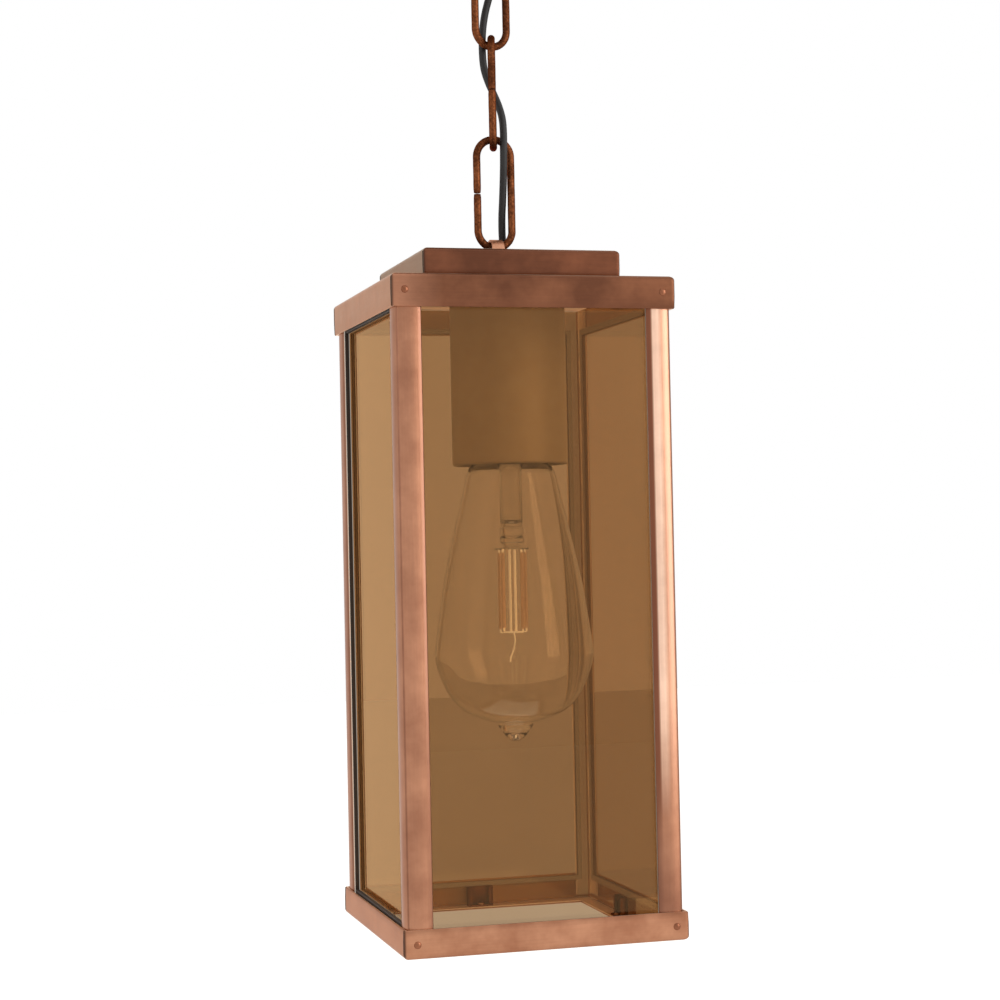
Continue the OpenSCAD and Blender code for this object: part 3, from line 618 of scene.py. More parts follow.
def folded(half, profile, seam_from, seam_to):
    """Loft of tray rings; the seams are open between two heights."""
    seam_y = half - 1.0 - SEAM_WIDTH / 2
    rings = []
    for inset, z in profile:
        is_open = seam_from <= z <= seam_to and inset < 0.5
        rings.append(tray_ring(half, inset, z, 0.7, seam_y, SEAM_DEPTH if is_open else 0.0))
    return rings


def skirt_profile(top, height, reach):
    """Half section of a tray that opens downwards, with a slight belly in its skirt."""
    foot = top - height
    belly = 0.14
    outer = arc(BEND, top - BEND, BEND, 90, 180, 6)
    inner = arc(BEND, top - BEND, BEND - THICK, 180, 90, 4)
    mid = [(0.0, top - BEND - 0.8), (0.0, top - height * 0.42), (0.0, top - height * 0.62),
           (belly, foot + 0.45), (belly + 0.2, foot + 0.1), (0.5, foot), (THICK - 0.15, foot + 0.05),
           (THICK, foot + 0.3)]
    hold = [(BEND + 1.2, top)]
    return [(reach, top)] + hold + outer + mid + inner + [(reach, top - THICK)]


roof = size_of("roof_cap")
crown = size_of("crown_box")
for node, (low, high), reach, finish in (("roof_cap", roof, 20.0, roof_copper),
                                         ("crown_box", crown, 15.0, crown_copper)):
    tray = folded(high.x, skirt_profile(high.z, high.z - low.z, reach), low.z - 1, high.z - SEAM_STOP)
    build(Shape().loft(tray), node + "_sheet", "lantern", "copper_sheet", finish, node)

canopy = size_of("ceiling_canopy")
canopy_profile = [(inset, canopy[0].z - z) for inset, z in
                  skirt_profile(0.0, canopy[1].z - canopy[0].z, 15.0)]
canopy_rings = folded(canopy[1].x, canopy_profile, canopy[0].z + SEAM_STOP, canopy[1].z + 1)
build(Shape().loft(canopy_rings), "ceiling_canopy_sheet", "canopy", "copper_sheet", canopy_copper,
      "ceiling_canopy")

# %% [markdown]
# The bottom frame is the same fold turned over, with most of its floor cut out: what is left is a flange on
# which the panes stand. Its profile is a closed loop, so the loft wraps round and needs no end faces.

# %% Bottom frame
band = size_of("bottom_frame")
base = band[0].z
flange = 12.5
lip = 0.2
band_top = band[1].z
low_bend = arc(BEND, base + BEND, BEND, 180, 270, 6)
inner_bend = arc(BEND, base + BEND, BEND - THICK, 270, 180, 4)
band_profile = ([(0.45, band_top), (0.14, band_top - 0.35), (0.0, base + 6.6), (0.0, base + 4.6)] + low_bend
                + [(flange - lip, base), (flange, base + lip), (flange, base + 1 - lip),
                   (flange - lip, base + 1)] + inner_bend + [(1.0, band_top - 0.3), (0.85, band_top)])
band_rings = folded(band[1].x, band_profile, base + SEAM_STOP, band_top + 1)
build(Shape().loft(band_rings, wrap=True), "bottom_frame_sheet", "lantern", "copper_sheet", band_copper,
      "bottom_frame")

# %% [markdown]
# Each corner post is a strip folded once along its length. Its section is a ribbon: a centre line with the
# sheet's thickness on both sides and rounded ends. The long edges next to the glass are dressed a little
# inwards, so that they press on the seal, and the finish paints a darker shade along them.

# %% Corner posts
CAP_STEPS = 6


def ribbon(path, half_thick):
    """Closed outline round an open path in a plane."""
    points = [Vector(p) for p in path]
    outer = []
    inner = []
    runs = directions(points)
    for p, run in zip(points, runs):
        side = Vector((-run.y, run.x))
        outer.append(p + side * half_thick)
        inner.append(p - side * half_thick)

    def cap(centre, run):
        away = math.degrees(math.atan2(run.y, run.x))
        bow = arc(centre.x, centre.y, half_thick, away + 90, away - 90, CAP_STEPS)
        return [Vector(q) for q in bow[1:-1]]

    return outer + cap(points[-1], runs[-1]) + inner[::-1] + cap(points[0], -runs[0])


post = size_of("post_back_right")
face = post[1].x
leg = post[1].x - post[0].x
half_t = 0.6
line = face - half_t
near = face - leg + half_t
post_leg = [(near, line - 0.42), (near + 1.4, line - 0.2), (near + 2.6, line - 0.06), (near + 4.2, line),
            (near + 5.4, line - 0.05), (near + 6.4, line - 0.17), (near + 7.2, line - 0.33)]
post_path = post_leg + arc(line - 1.75, line - 1.75, 1.28, 78, 12, 6) + [(y, x) for x, y in post_leg[::-1]]
outline = ribbon(post_path, half_t)
heights = [post[0].z, post[0].z + 0.15] + [post[0].z + (post[1].z - post[0].z) * i / 8 for i in range(1, 8)]
heights += [post[1].z - 0.15, post[1].z]
post_shape = Shape().loft([[(p.x, p.y, z) for p in outline] for z in heights])
post_names = ["post_back_right", "post_back_left", "post_front_left", "post_front_right"]
for quarter, name in enumerate(post_names):
    build(post_shape.turned([quarter]), name + "_strip", "lantern", "copper_sheet", post_copper, name)

# %% [markdown]
# A pane is a plate with ground edges. The small bevel round it matters: it catches a bright line where two
# panes meet behind a post. Each bevel comes from bmesh on a plain plate. The faces are shaded flat, because
# smooth shading across a bevel would make the whole pane act as a lens.

# %% Panes
def ground_plate(name, low, high, bevel):
    work = bmesh.new()
    bmesh.ops.create_cube(work, size=1.0)
    middle = (low + high) / 2
    for vert in work.verts:
        vert.co = Vector([m + c * s for m, c, s in zip(middle, vert.co, high - low)]) * MM
    bmesh.ops.bevel(work, geom=list(work.edges), offset=bevel * MM, segments=2, profile=0.6, affect="EDGES")
    mesh = bpy.data.meshes.new(name)
    work.to_mesh(mesh)
    work.free()
    mesh.shade_flat()
    return mesh


for side in ("front", "back", "left", "right"):
    plate = ground_plate("glass_" + side, *size_of("pane_" + side), 0.35)
    piece_of(plate, "glass_" + side, "lantern", bronze_glass, ["pane_" + side])
print("panes: 4")

# %% [markdown]
# A rubber seal runs round every opening between the post and the pane. It is a cord of soft section with a
# mitre at each corner, so its section is swept round a rectangle, and the sweep's side direction is longer
# on the corners by the length of the mitre. At the front and the back less of the seal shows past the post,
# so it is narrower there.

# %% Glazing seals
seal = size_of("seal_back")
frame_half = seal[1].x
frame_mid_z = (seal[1].z + seal[0].z) / 2
frame_half_h = (seal[1].z - seal[0].z) / 2
seal_back_y = seal[0].y
section = [(0.0, 0.3), (0.3, 0.0), (2.3, 0.0), (2.6, 0.25), (2.65, 1.0), (2.6, 1.75), (2.3, 1.95),
           (0.3, 1.95), (0.0, 1.7)]
for quarter, (side, width) in enumerate((("back", 0.72), ("left", 1.0), ("front", 0.72), ("right", 1.0))):
    seal_rings = []
    for sx, sz in ((1, 1), (-1, 1), (-1, -1), (1, -1)):
        seal_rings.append([(sx * (frame_half - inward * width), seal_back_y + out,
                            frame_mid_z + sz * (frame_half_h - inward * width)) for inward, out in section])
    seal_shape = Shape().loft(seal_rings, wrap=True)
    build(seal_shape.turned([quarter]), "seal_" + side + "_ring", "lantern", "black_rubber", seal_rubber,
          "seal_" + side)

# %% [markdown]
# Four spring clips stand on the flange and keep the panes outwards. Each is a strip whose ends are curled
# towards the middle of the lantern, on a flat foot. The strip is a ribbon seen from above, lofted upwards,
# and the curl is what would catch the light in the dark lower corner.

# %% Pane clips
clip = size_of("pane_clips")
clip_face = clip[1].y
clip_half = 5.75
curl = 1.25
clip_line = clip_face - 0.4
strip = arc(-clip_half + curl + 0.4, clip_line - curl, curl, 290, 90, 9)
strip += arc(clip_half - curl - 0.4, clip_line - curl, curl, 90, -110, 9)
clip_outline = ribbon(strip, 0.35)
clip_low = clip[0].z
clip_shape = Shape()
clip_shape.loft([[(p.x, p.y, z) for p in clip_outline] for z in (clip_low + 0.1, clip_low + 7.7, clip[1].z)])
foot = [(-4.6, clip_face - 4.4), (4.6, clip_face - 4.4), (5.2, clip_face - 3.6), (5.2, clip_face - 0.8),
        (-5.2, clip_face - 0.8), (-5.2, clip_face - 3.6)]
clip_shape.loft([[(x, y, z) for x, y in foot] for z in (clip_low, clip_low + 0.7)])
build(clip_shape.turned(range(4)), "pane_clip_springs", "lantern", "dark_copper", chain_coat, "pane_clips")

# %% [markdown]
# The chain hangs from a staple through the crown: a flat strap bent to an arch, with its two feet below the
# sheet. It is swept with a section whose long edges are eased. The sweep stays in one plane, so the strap's
# width always points along X.

# %% Staple
def strap(path, width, thick, ease=0.25):
    """Flat bar along a path of (y, z) points, its width along X."""
    rings = []
    w = width / 2
    t = thick / 2
    bar = [(-w + ease, -t), (w - ease, -t), (w, -t + ease), (w, t - ease), (w - ease, t), (-w + ease, t),
           (-w, t - ease), (-w, -t + ease)]
    for p, run in zip(path, directions(path)):
        rings.append([(u, p[0] - run.y * v, p[1] + run.x * v) for u, v in bar])
    return rings


staple = size_of("hanger_staple")
staple_mid = 4.6
arch_z = staple[1].z - staple_mid - 0.6
foot_z = staple[0].z + 0.6
staple_path = [(-12.0, foot_z), (-6.2, foot_z), (-5.0, foot_z + 0.35), (-staple_mid, foot_z + 1.3)]
staple_path += arc(0.0, arch_z, staple_mid, 180, 0, 16)
staple_path += [(staple_mid, foot_z + 1.3), (5.0, foot_z + 0.35), (6.2, foot_z), (12.0, foot_z)]
build(Shape().loft(strap(staple_path, 5.2, 1.2)), "hanger_staple_strap", "lantern", "copper_sheet",
      small_copper, "hanger_staple")

# %% [markdown]
# One tree makes every chain link. It bends a straight curve round the link: two half turns and two legs,
# beginning at the butt gap in the middle of one leg. Then it gives the wire its thickness, thins it towards
# the two cut ends, hammers its skin a little, and turns the link to its own direction. Clamped lengths do
# this in one formula, and the joints of the frame need each link as its own piece.

# %% Geometry Nodes helpers
def new_tree(name, sizes):
    """A geometry tree with named number inputs; returns its net and a dictionary of the inputs."""
    tree = bpy.data.node_groups.new(name, "GeometryNodeTree")
    tree.interface.new_socket("Geometry", in_out="OUTPUT", socket_type="NodeSocketGeometry")
    tree.interface.new_socket("Geometry", in_out="INPUT", socket_type="NodeSocketGeometry")
    for size in sizes:
        tree.interface.new_socket(size, in_out="INPUT", socket_type="NodeSocketFloat")
    net = Net(tree)
    entry = net.node("NodeGroupInput")
    return net, {size: entry.out(size) for size in ["Geometry"] + list(sizes)}


def end_tree(net, geometry, material):
    whole = net.node("GeometryNodeRealizeInstances", None, {0: geometry})
    dressed = net.node("GeometryNodeSetMaterial", None, {"Geometry": whole, "Material": material})
    net.node("NodeGroupOutput", None, {0: dressed})


def grown(net, values, points=()):
    """Runs a tree on a mesh of loose points and returns the plain mesh that it makes."""
    seed = bpy.data.meshes.new("seed")
    seed.from_pydata([Vector(p) * MM for p in points], [], [])
    holder = bpy.data.objects.new("holder", seed)
    bpy.context.scene.collection.objects.link(holder)
    modifier = holder.modifiers.new("Grow", "NODES")
    modifier.node_group = net.tree
    for item in net.tree.interface.items_tree:
        if item.in_out == "INPUT" and item.name in values:
            modifier[item.identifier] = float(values[item.name])
    bpy.context.view_layer.update()
    seen = holder.evaluated_get(bpy.context.evaluated_depsgraph_get())
    mesh = bpy.data.meshes.new_from_object(seen)
    holder.modifiers.remove(modifier)
    bpy.data.objects.remove(holder)
    return mesh


# %% Chain link tree
link_net, link_in = new_tree("Chain link", ["Wire", "Pitch", "Width", "Gap", "Top", "Turn"])
wire = link_in["Wire"]
bow = (link_in["Width"] - wire) / 2.0
straight = link_in["Pitch"] + wire - 2.0 * bow
half_turn = bow * math.pi
around = 2.0 * half_turn + 2.0 * straight
bar = link_net.node("GeometryNodeCurvePrimitiveLine")
bar = link_net.node("GeometryNodeResampleCurve", None, {"Curve": bar, "Count": 150})
part = link_net.node("GeometryNodeSplineParameter")
run = link_in["Gap"] / 2.0 + part * (around - link_in["Gap"])
leg_end = straight / 2.0
upper = ((run - leg_end) / bow).limit(0.0, math.pi)
lower = ((run - leg_end - half_turn - straight) / bow).limit(0.0, math.pi)
angle = upper + lower
down = (run - leg_end - half_turn).limit(0.0, straight)
last = (run - leg_end - half_turn - straight - half_turn).limit(0.0, leg_end)
height = run.least(leg_end) - down + last + bow * angle.sine()
side = 0.0 - bow * angle.cosine()
centre = link_in["Top"] - link_in["Pitch"] / 2.0
spot = link_net.node("ShaderNodeCombineXYZ", None, {0: side, 1: 0.0, 2: height + centre})
bar = link_net.node("GeometryNodeSetPosition", None, {"Geometry": bar, "Position": spot})
to_end = run.least(around - run)
thin = 0.86 + ((to_end - link_in["Gap"] / 2.0) * 900.0).limit() * 0.12
rim = link_net.node("GeometryNodeCurvePrimitiveCircle", None, {"Resolution": 20, "Radius": wire / 2.0})
bar = link_net.node("GeometryNodeCurveToMesh", None,
                    {"Curve": bar, "Profile Curve": rim, "Scale": thin, "Fill Caps": True})
place = link_net.node("GeometryNodeInputPosition")
hammer = (link_net.noise(place, 420.0, 2.0, 0.5) - 0.5) * 0.00014
out = link_net.node("GeometryNodeInputNormal")
push = link_net.node("ShaderNodeVectorMath", {"operation": "SCALE"}, {0: out, "Scale": hammer})
bar = link_net.node("GeometryNodeSetPosition", None, {"Geometry": bar, "Offset": push})
turn = link_net.node("ShaderNodeCombineXYZ", None, {2: link_in["Turn"]})
bar = link_net.node("GeometryNodeTransform", None, {"Geometry": bar, "Rotation": turn})
bar = link_net.node("GeometryNodeSetShadeSmooth", None, {"Geometry": bar})
end_tree(link_net, bar, chain_coat)

link_turns = {1: 0.0, 2: 74.0, 3: 13.0}
for number, degrees in link_turns.items():
    low, high = size_of(f"chain_link_{number}")
    thick = 3.1
    values = {"Wire": thick * MM, "Pitch": (high.z - low.z - 2 * thick) * MM, "Width": 17.3 * MM,
              "Gap": 0.5 * MM, "Top": (high.z - thick) * MM, "Turn": math.radians(degrees)}
    link_mesh = grown(link_net, values)
    piece_of(link_mesh, f"chain_link_{number}_wire", f"link_{number}", chain_coat,
             [f"chain_link_{number}"])
    print(f"link {number}: {len(link_mesh.polygons)} faces")

# %% [markdown]
# Rivets hold the front and back bands to the posts, and the staple to the crown. A second tree puts one low
# dome on each given point, facing away from the middle of the lantern, or upwards on the crown.

# %% Rivet tree
rivet_net, rivet_in = new_tree("Rivet heads", ["Radius", "Rise", "Face out"])
spots = rivet_net.node("GeometryNodeMeshToPoints", None, {0: rivet_in["Geometry"]})
ball = rivet_net.node("GeometryNodeMeshUVSphere", None,
                      {"Segments": 28, "Rings": 14, "Radius": rivet_in["Radius"]})
flat = rivet_net.node("ShaderNodeCombineXYZ", None,
                      {0: 1.0, 1: 1.0, 2: rivet_in["Rise"] / rivet_in["Radius"]})
ball = rivet_net.node("GeometryNodeTransform", None, {"Geometry": ball, "Scale": flat})
here = rivet_net.node("GeometryNodeInputPosition")
here_y = rivet_net.node("ShaderNodeSeparateXYZ", None, {0: here}, "Y")
away = rivet_net.node("ShaderNodeCombineXYZ", None,
                      {0: 0.0, 1: here_y * rivet_in["Face out"], 2: 0.001 * (1.0 - rivet_in["Face out"])})
aim = rivet_net.node("FunctionNodeAlignRotationToVector", {"axis": "Z"}, {"Vector": away})
heads = rivet_net.node("GeometryNodeInstanceOnPoints", None,
                       {"Points": spots, "Instance": ball, "Rotation": aim})
heads = rivet_net.node("GeometryNodeSetShadeSmooth", None, {"Geometry": heads})
end_tree(rivet_net, heads, rivet_copper)


def rivet_row(name, node, spots, radius, rise, face_out):
    mesh = grown(rivet_net, {"Radius": radius * MM, "Rise": rise * MM, "Face out": face_out}, spots)
    piece_of(mesh, name, "lantern", rivet_copper, [node])
    print(f"{name}: {len(spots)} heads")


for name, node in (("roof_rivet_heads", "cap_rivets"), ("band_rivet_heads", "frame_rivets")):
    low, high = size_of(node)
    middle = (low.z + high.z) / 2
    skin = roof[1].x - 0.05
    spots = [(x, y * skin, middle) for x in (low.x + 1.7, high.x - 1.7) for y in (-1, 1)]
    rivet_row(name, node, spots, 1.4, 0.62, 1.0)
low, high = size_of("staple_rivets")
rivet_row("staple_rivet_heads", "staple_rivets", [(0.0, y, crown[1].z) for y in (-9.0, 9.0)], 2.0, 0.5, 0.0)

# %% [markdown]
# The supply cord is threaded through the links down to the crown. It follows one smooth route from the
# terminal block in the ceiling to the one in the crown, and is held by a rubber ring at each sheet. Four
# lengths meet end to end, one over each joint of the chain.

# %% Supply cord
ROUTE = [
    (5.3, -30, -15.8), (9, -30, -15.8), (13.5, -26.5, -15), (15, -20, -14.5), (14, -12.5, -15.5),
    (13.1, -7.5, -18.6), (13, -7, -21.5), (12.7, -6.9, -25), (11.2, -5.8, -31), (8, -4.6, -37),
    (5.4, -3.8, -43), (4, -2, -50), (2.4, 0.4, -57), (0.3, 2, -64), (-1.6, 2.9, -71.5),
    (-2.7, 3.1, -79), (-2.9, 3.1, -87), (-2.5, 2.4, -94), (-1.1, 1, -100), (0.6, 0, -104.5),
    (2.2, -1.4, -109.5), (3.2, -2.8, -115), (3.4, -3.5, -121), (3.3, -3.5, -127.5),
    (3.4, -2.6, -134), (3.6, -0.9, -140.5), (3.7, 0.9, -147.5), (3.7, 2.5, -154.5),
    (4, 3.7, -161.5), (4.7, 4.8, -167), (5.4, 6, -170.8), (5.6, 6.3, -173.4), (5.6, 6.7, -176),
    (4.8, 9.3, -180.2), (1.8, 12.6, -182.9), (-2.5, 13.8, -183.1), (-6.5, 13.6, -183.1),
    (-11.5, 12, -182.7), (-14.9, 12, -182.7)]


def smooth_path(points, steps):
    """A curve through all the points."""
    done = []
    last = len(points) - 1
    for i in range(last):
        a, b, c, d = (Vector(points[min(max(k, 0), last)]) for k in (i - 1, i, i + 1, i + 2))
        for j in range(steps):
            t = j / steps
            done.append(b + (c - a) * t / 2 + (2 * a - 5 * b + 4 * c - d) * t * t / 2
                        + (3 * b - a - 3 * c + d) * t ** 3 / 2)
    return done + [Vector(points[-1])]


def tube_rings(path, radius, sides, closed=False):
    """Rings of a round tube, carried along the path without twist."""
    rings = []
    count = len(path)
    side = None
    for i, p in enumerate(path):
        ahead = path[(i + 1) % count] if closed else path[min(i + 1, count - 1)]
        behind = path[i - 1] if closed else path[max(i - 1, 0)]
        run = (ahead - behind).normalized()
        side = run.cross(Vector((0.3, 0.2, 0.93))) if side is None else side - run * side.dot(run)
        side.normalize()
        other = run.cross(side)
        rings.append([p + radius * (math.cos(a) * side + math.sin(a) * other) for a in full_turn(sides)])
    return rings


CORD_STEPS = 5
cord_line = smooth_path(ROUTE, CORD_STEPS)
length = sum((b - a).length for a, b in zip(cord_line, cord_line[1:]))
print(f"cord: {length:.0f} mm from block to block")
lengths = [(0, 12, "canopy", "link_3", -34.0, -55.0), (12, 19, "link_3", "link_2", -75.5, -95.5),
           (19, 25, "link_2", "link_1", -116.5, -136.5), (25, 38, "link_1", "lantern", -155.0, -170.5)]
cord_rings = tube_rings(cord_line, 1.48, 16)
for number, (first, last, upper_body, lower_body, start, end) in enumerate(lengths, 1):
    rings = cord_rings[first * CORD_STEPS:last * CORD_STEPS + 1]
    cord = build(Shape().loft(rings), f"cord_length_{number}", None, "cord_sheath", sheath,
                 f"supply_cord_{number}", sharp=50.0)
    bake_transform(cord)

# %% [markdown]
# The ceiling fitting ends in a collar and an eye: a threaded stem with a ring of wire below. The collar is
# turned with a fluted edge for the fingers, so its outline is a ring whose radius rises and falls.

# %% Collar, eye and rubber rings
collar = size_of("canopy_collar")
FLUTES = 30
collar_rings = []
for radius, z, flute in ((5.2, collar[1].z, 0), (8.5, collar[1].z, 0), (9.0, collar[1].z - 0.5, 1),
                         (9.0, collar[0].z + 0.9, 1), (8.3, collar[0].z + 0.25, 0), (7.4, collar[0].z, 0),
                         (5.2, collar[0].z, 0)):
    ring = []
    for a in full_turn(FLUTES * 6):
        r = radius - flute * 0.3 * (0.5 + 0.5 * math.cos(a * FLUTES))
        ring.append((r * math.cos(a), r * math.sin(a), z))
    collar_rings.append(ring)
build(Shape().loft(collar_rings, wrap=True), "canopy_collar_ring", "canopy", "copper_sheet", small_copper,
      "canopy_collar")

eye = size_of("canopy_loop")
eye_r = (10.5 + 7.0) / 2
eye_z = eye[0].z + 10.5
circle = [Vector((0.0, eye_r * math.cos(a), eye_z + eye_r * math.sin(a))) for a in full_turn(72)]
eye_shape = Shape().loft(tube_rings(circle, 1.74, 18, closed=True), wrap=True)
stem = [(0.0, eye_z + 7.6), (4.2, eye_z + 7.8), (5.0, eye_z + 9.4), (5.0, collar[0].z + 0.4)]
z = collar[0].z + 1.0
while z < eye[1].z - 1.5:
    stem += [(4.98, z), (4.98, z + 0.2), (4.5, z + 0.6), (4.5, z + 0.7)]
    z += 1.25
stem += [(4.5, eye[1].z - 0.5), (4.0, eye[1].z), (0.0, eye[1].z)]
eye_shape.lathe(stem, sides=48)
build(eye_shape, "canopy_eye", "canopy", "dark_copper", chain_coat, "canopy_loop")


def rubber_ring(name, node, body):
    """A grommet: two soft lips with a neck between them, in the sheet's hole."""
    low, high = size_of(node)
    mid = (low + high) / 2
    lip_r = (high.x - low.x) / 2
    neck = 2.9
    bore = 1.85
    profile = [(bore, low.z + 0.3), (bore + 0.3, low.z), (lip_r - 0.4, low.z + 0.1), (lip_r, low.z + 0.5),
               (lip_r - 0.1, low.z + 0.9), (neck, low.z + 1.0), (neck, high.z - 1.0),
               (lip_r - 0.1, high.z - 0.9), (lip_r, high.z - 0.5), (lip_r - 0.4, high.z - 0.1),
               (bore + 0.3, high.z), (bore, high.z - 0.3)]
    shape = Shape().lathe(profile, mid.x, mid.y, 40, wrap=True)
    build(shape, name, body, "black_rubber", rubber, node)


rubber_ring("canopy_rubber_ring", "canopy_grommet", "canopy")
rubber_ring("crown_rubber_ring", "crown_grommet", "lantern")

# %% [markdown]
# The lampholder sits in a spun metal cup under the roof. Spinning leaves a soft shoulder at the top and a
# rolled bead at the mouth, so both are in the turned profile: a closed loop with the wall's thickness.

# %% Cup
cup = size_of("holder_cup")
axis = (cup[0].x + cup[1].x) / 2
cup_r = (cup[1].x - cup[0].x) / 2
top = cup[1].z
mouth = cup[0].z
cup_profile = [(5.1, top), (cup_r - 3.0, top)] + arc(cup_r - 3.0, top - 3.0, 3.0, 90, 0, 6)
cup_profile += [(cup_r, mouth + 2.4)] + arc(cup_r - 0.9, mouth + 0.9, 0.9, 0, -180, 8)
cup_profile += [(cup_r - 1.6, mouth + 1.5), (cup_r - 1.0, mouth + 2.2), (cup_r - 1.0, top - 3.0)]
cup_profile += arc(cup_r - 3.0, top - 3.0, 2.0, 0, 90, 6)[1:] + [(5.1, top - 1.0)]
build(Shape().lathe(cup_profile, axis, 0.0, 96, wrap=True), "holder_cup_spun", "lantern", "dark_copper",
      cup_metal, "holder_cup")

# %% [markdown]
# The bulb is a tall teardrop of blown glass with the small pip where it was sealed off. A thin wall with an
# outer and an inner face bends light the way a real bulb does, while a solid one would act as a lens. Inside
# stand a stem tube with a press and a flared foot, two support rods, and four coated strips.

# %% Bulb glass and stem
glass = size_of("bulb_glass")
neck = glass[1].z
OUTLINE = [(0, 11.8), (2, 11.9), (3.2, 12.6), (8, 17.4), (18, 20), (29.5, 22.8), (50, 27.4), (64, 29.7),
           (78, 31.7), (83, 32), (89, 30.5), (98, 26.6), (104.5, 20.6), (108, 13), (109.5, 8), (111.5, 6.6),
           (114.5, 4.4), (116.4, 2.2), (117, 0)]
curve = [(p.x, p.y) for p in smooth_path([(r, neck - d, 0) for d, r in OUTLINE], 5)]
curve[-1] = (0.0, glass[0].z)
WALL = 0.8
inner = []
for (r, z), run in zip(curve, directions(curve)):
    inner.append((max(r + run.y * WALL, 0.0), z - run.x * WALL))
inside = [p for p in inner if p[1] > glass[0].z + 6.5 and p[0] > 0.4]
lowest = inside[-1]
inside += [(lowest[0] * 0.5, lowest[1] - 0.05), (0.0, lowest[1] - 0.1)]
bulb_profile = [(0.0, glass[0].z)] + curve[::-1][1:] + inside
build(Shape().lathe(bulb_profile, axis, 0.0, 96), "bulb_glass_wall", "bulb", "clear_glass", lamp_glass,
      "bulb_glass", sharp=60.0)

stem_box = size_of("bulb_stem")
low = stem_box[0].z
high = stem_box[1].z
stem_profile = [(0.0, low), (6.9, low), (7.0, low + 0.3), (6.9, low + 0.6), (3.6, low + 0.8),
                (3.4, low + 2.0), (4.7, low + 3.0), (4.9, low + 4.6), (4.1, low + 5.6), (4.8, low + 6.6),
                (4.9, low + 8.6), (4.1, low + 9.6), (4.5, low + 10.8), (4.5, high - 8.0), (5.0, high - 5.0),
                (7.4, high - 2.4), (10.3, high - 1.2), (10.4, high - 0.6), (10.1, high - 0.5),
                (7.2, high - 1.6), (4.4, high - 4.6), (3.7, high - 8.0), (3.7, low + 12.0), (2.6, low + 10.8),
                (0.0, low + 10.4)]
build(Shape().lathe(stem_profile, axis, 0.0, 48), "bulb_stem_tube", "bulb", "clear_glass", lamp_glass,
      "bulb_stem")

# %% [markdown]
# The filament strips are flat, coated bars with a bare metal tab at each end. They stand in a ring round the
# two rods. The rods end in a small plate with four thin arms, one to each strip, and a bent wire below it.

# %% Filaments and supports
fil = size_of("bulb_filaments")
strip_top = fil[1].z - 1.2
strip_low = fil[0].z + 1.2
strips = Shape()
tabs = Shape()
strip_turns = [math.radians(20 + 90 * k) for k in range(4)]
bars = ((strips, strip_low, strip_top, 0.75, 0.42), (tabs, strip_top - 0.3, fil[1].z, 0.5, 0.15),
        (tabs, fil[0].z, strip_low + 0.3, 0.5, 0.15))
for turn in strip_turns:
    across = Vector((-math.sin(turn), math.cos(turn), 0))
    out = Vector((math.cos(turn), math.sin(turn), 0))
    middle = Vector((axis, 0, 0)) + out * 6.45
    for shape, z0, z1, w, t in bars:
        rim = [(-w, -t * 0.6), (-w * 0.7, -t), (w * 0.7, -t), (w, -t * 0.6), (w, t * 0.6), (w * 0.6, t),
               (-w * 0.6, t), (-w, t * 0.6)]
        shape.loft([[middle + across * u + out * v + Vector((0, 0, z)) for u, v in rim] for z in (z0, z1)])
build(strips, "bulb_filament_strips", "bulb", "phosphor", phosphor, "bulb_filaments")

sup = size_of("filament_supports")
rod_top = sup[1].z
for x in (-1.1, 1.1):
    rod = [Vector((axis + x, 0, z)) for z in (rod_top, (rod_top + sup[0].z) / 2, sup[0].z + 2.0)]
    tabs.loft(tube_rings(rod, 0.5, 14))
plate_z = sup[0].z + 1.7
plate = [(0.0, plate_z - 0.3), (3.1, plate_z - 0.3), (3.4, plate_z), (3.1, plate_z + 0.3),
         (0.0, plate_z + 0.3)]
tabs.lathe(plate, axis, 0.0, 48)
for turn in strip_turns:
    arm = [Vector((axis + r * math.cos(turn), r * math.sin(turn), plate_z)) for r in (2.8, 4.6, 6.5)]
    tabs.loft(tube_rings(arm, 0.22, 8))
bent = smooth_path([(axis, 0, plate_z), (axis + 0.6, 0.2, plate_z - 3), (axis + 0.2, 0.6, plate_z - 6.5),
                    (axis - 1.2, 0.4, plate_z - 10), (axis - 1.6, 0, plate_z - 12)], 6)
tabs.loft(tube_rings(bent, 0.35, 10))
build(tabs, "bulb_support_wires", "bulb", "zinc_steel", rod_metal, "filament_supports")

# %% [markdown]
# The bulb's screw cap carries the rolled thread of its size. The thread is a true helix: the radius depends
# on height and on angle together, so one turn of the cap climbs one pitch.

# %% Bulb cap
cap = size_of("bulb_cap")
cap_r = (cap[1].x - cap[0].x) / 2
PITCH = 3.62
SIDES = 72
cap_rings = []


def cap_ring(radius, z, thread):
    ring = []
    for a in full_turn(SIDES):
        wave = 0.5 + 0.5 * math.cos(2 * math.pi * (z / PITCH) - a)
        r = radius - thread * 0.8 * wave
        ring.append((axis + r * math.cos(a), r * math.sin(a), z))
    return ring


rim_z = cap[0].z
cap_rings.append(cap_ring(cap_r - 0.6, rim_z, 0))
cap_rings.append(cap_ring(cap_r - 0.1, rim_z + 0.1, 0))
cap_rings.append(cap_ring(cap_r, rim_z + 2.0, 0))
z = rim_z + 2.6
while z < cap[1].z - 5.0:
    cap_rings.append(cap_ring(cap_r, z, 1))
    z += 0.3
for r, z in ((12.2, cap[1].z - 3.6), (10.4, cap[1].z - 1.6), (8.0, cap[1].z), (7.0, cap[1].z)):
    cap_rings.append(cap_ring(r, z, 0))
for r, z in ((7.0, cap[1].z - 1.2), (10.0, cap[1].z - 3.2), (11.7, cap[1].z - 5.2), (11.9, rim_z + 2.0)):
    cap_rings.append(cap_ring(r, z, 0))
build(Shape().loft(cap_rings, wrap=True), "bulb_screw_cap", "bulb", "bulb_metal", nickel, "bulb_cap")

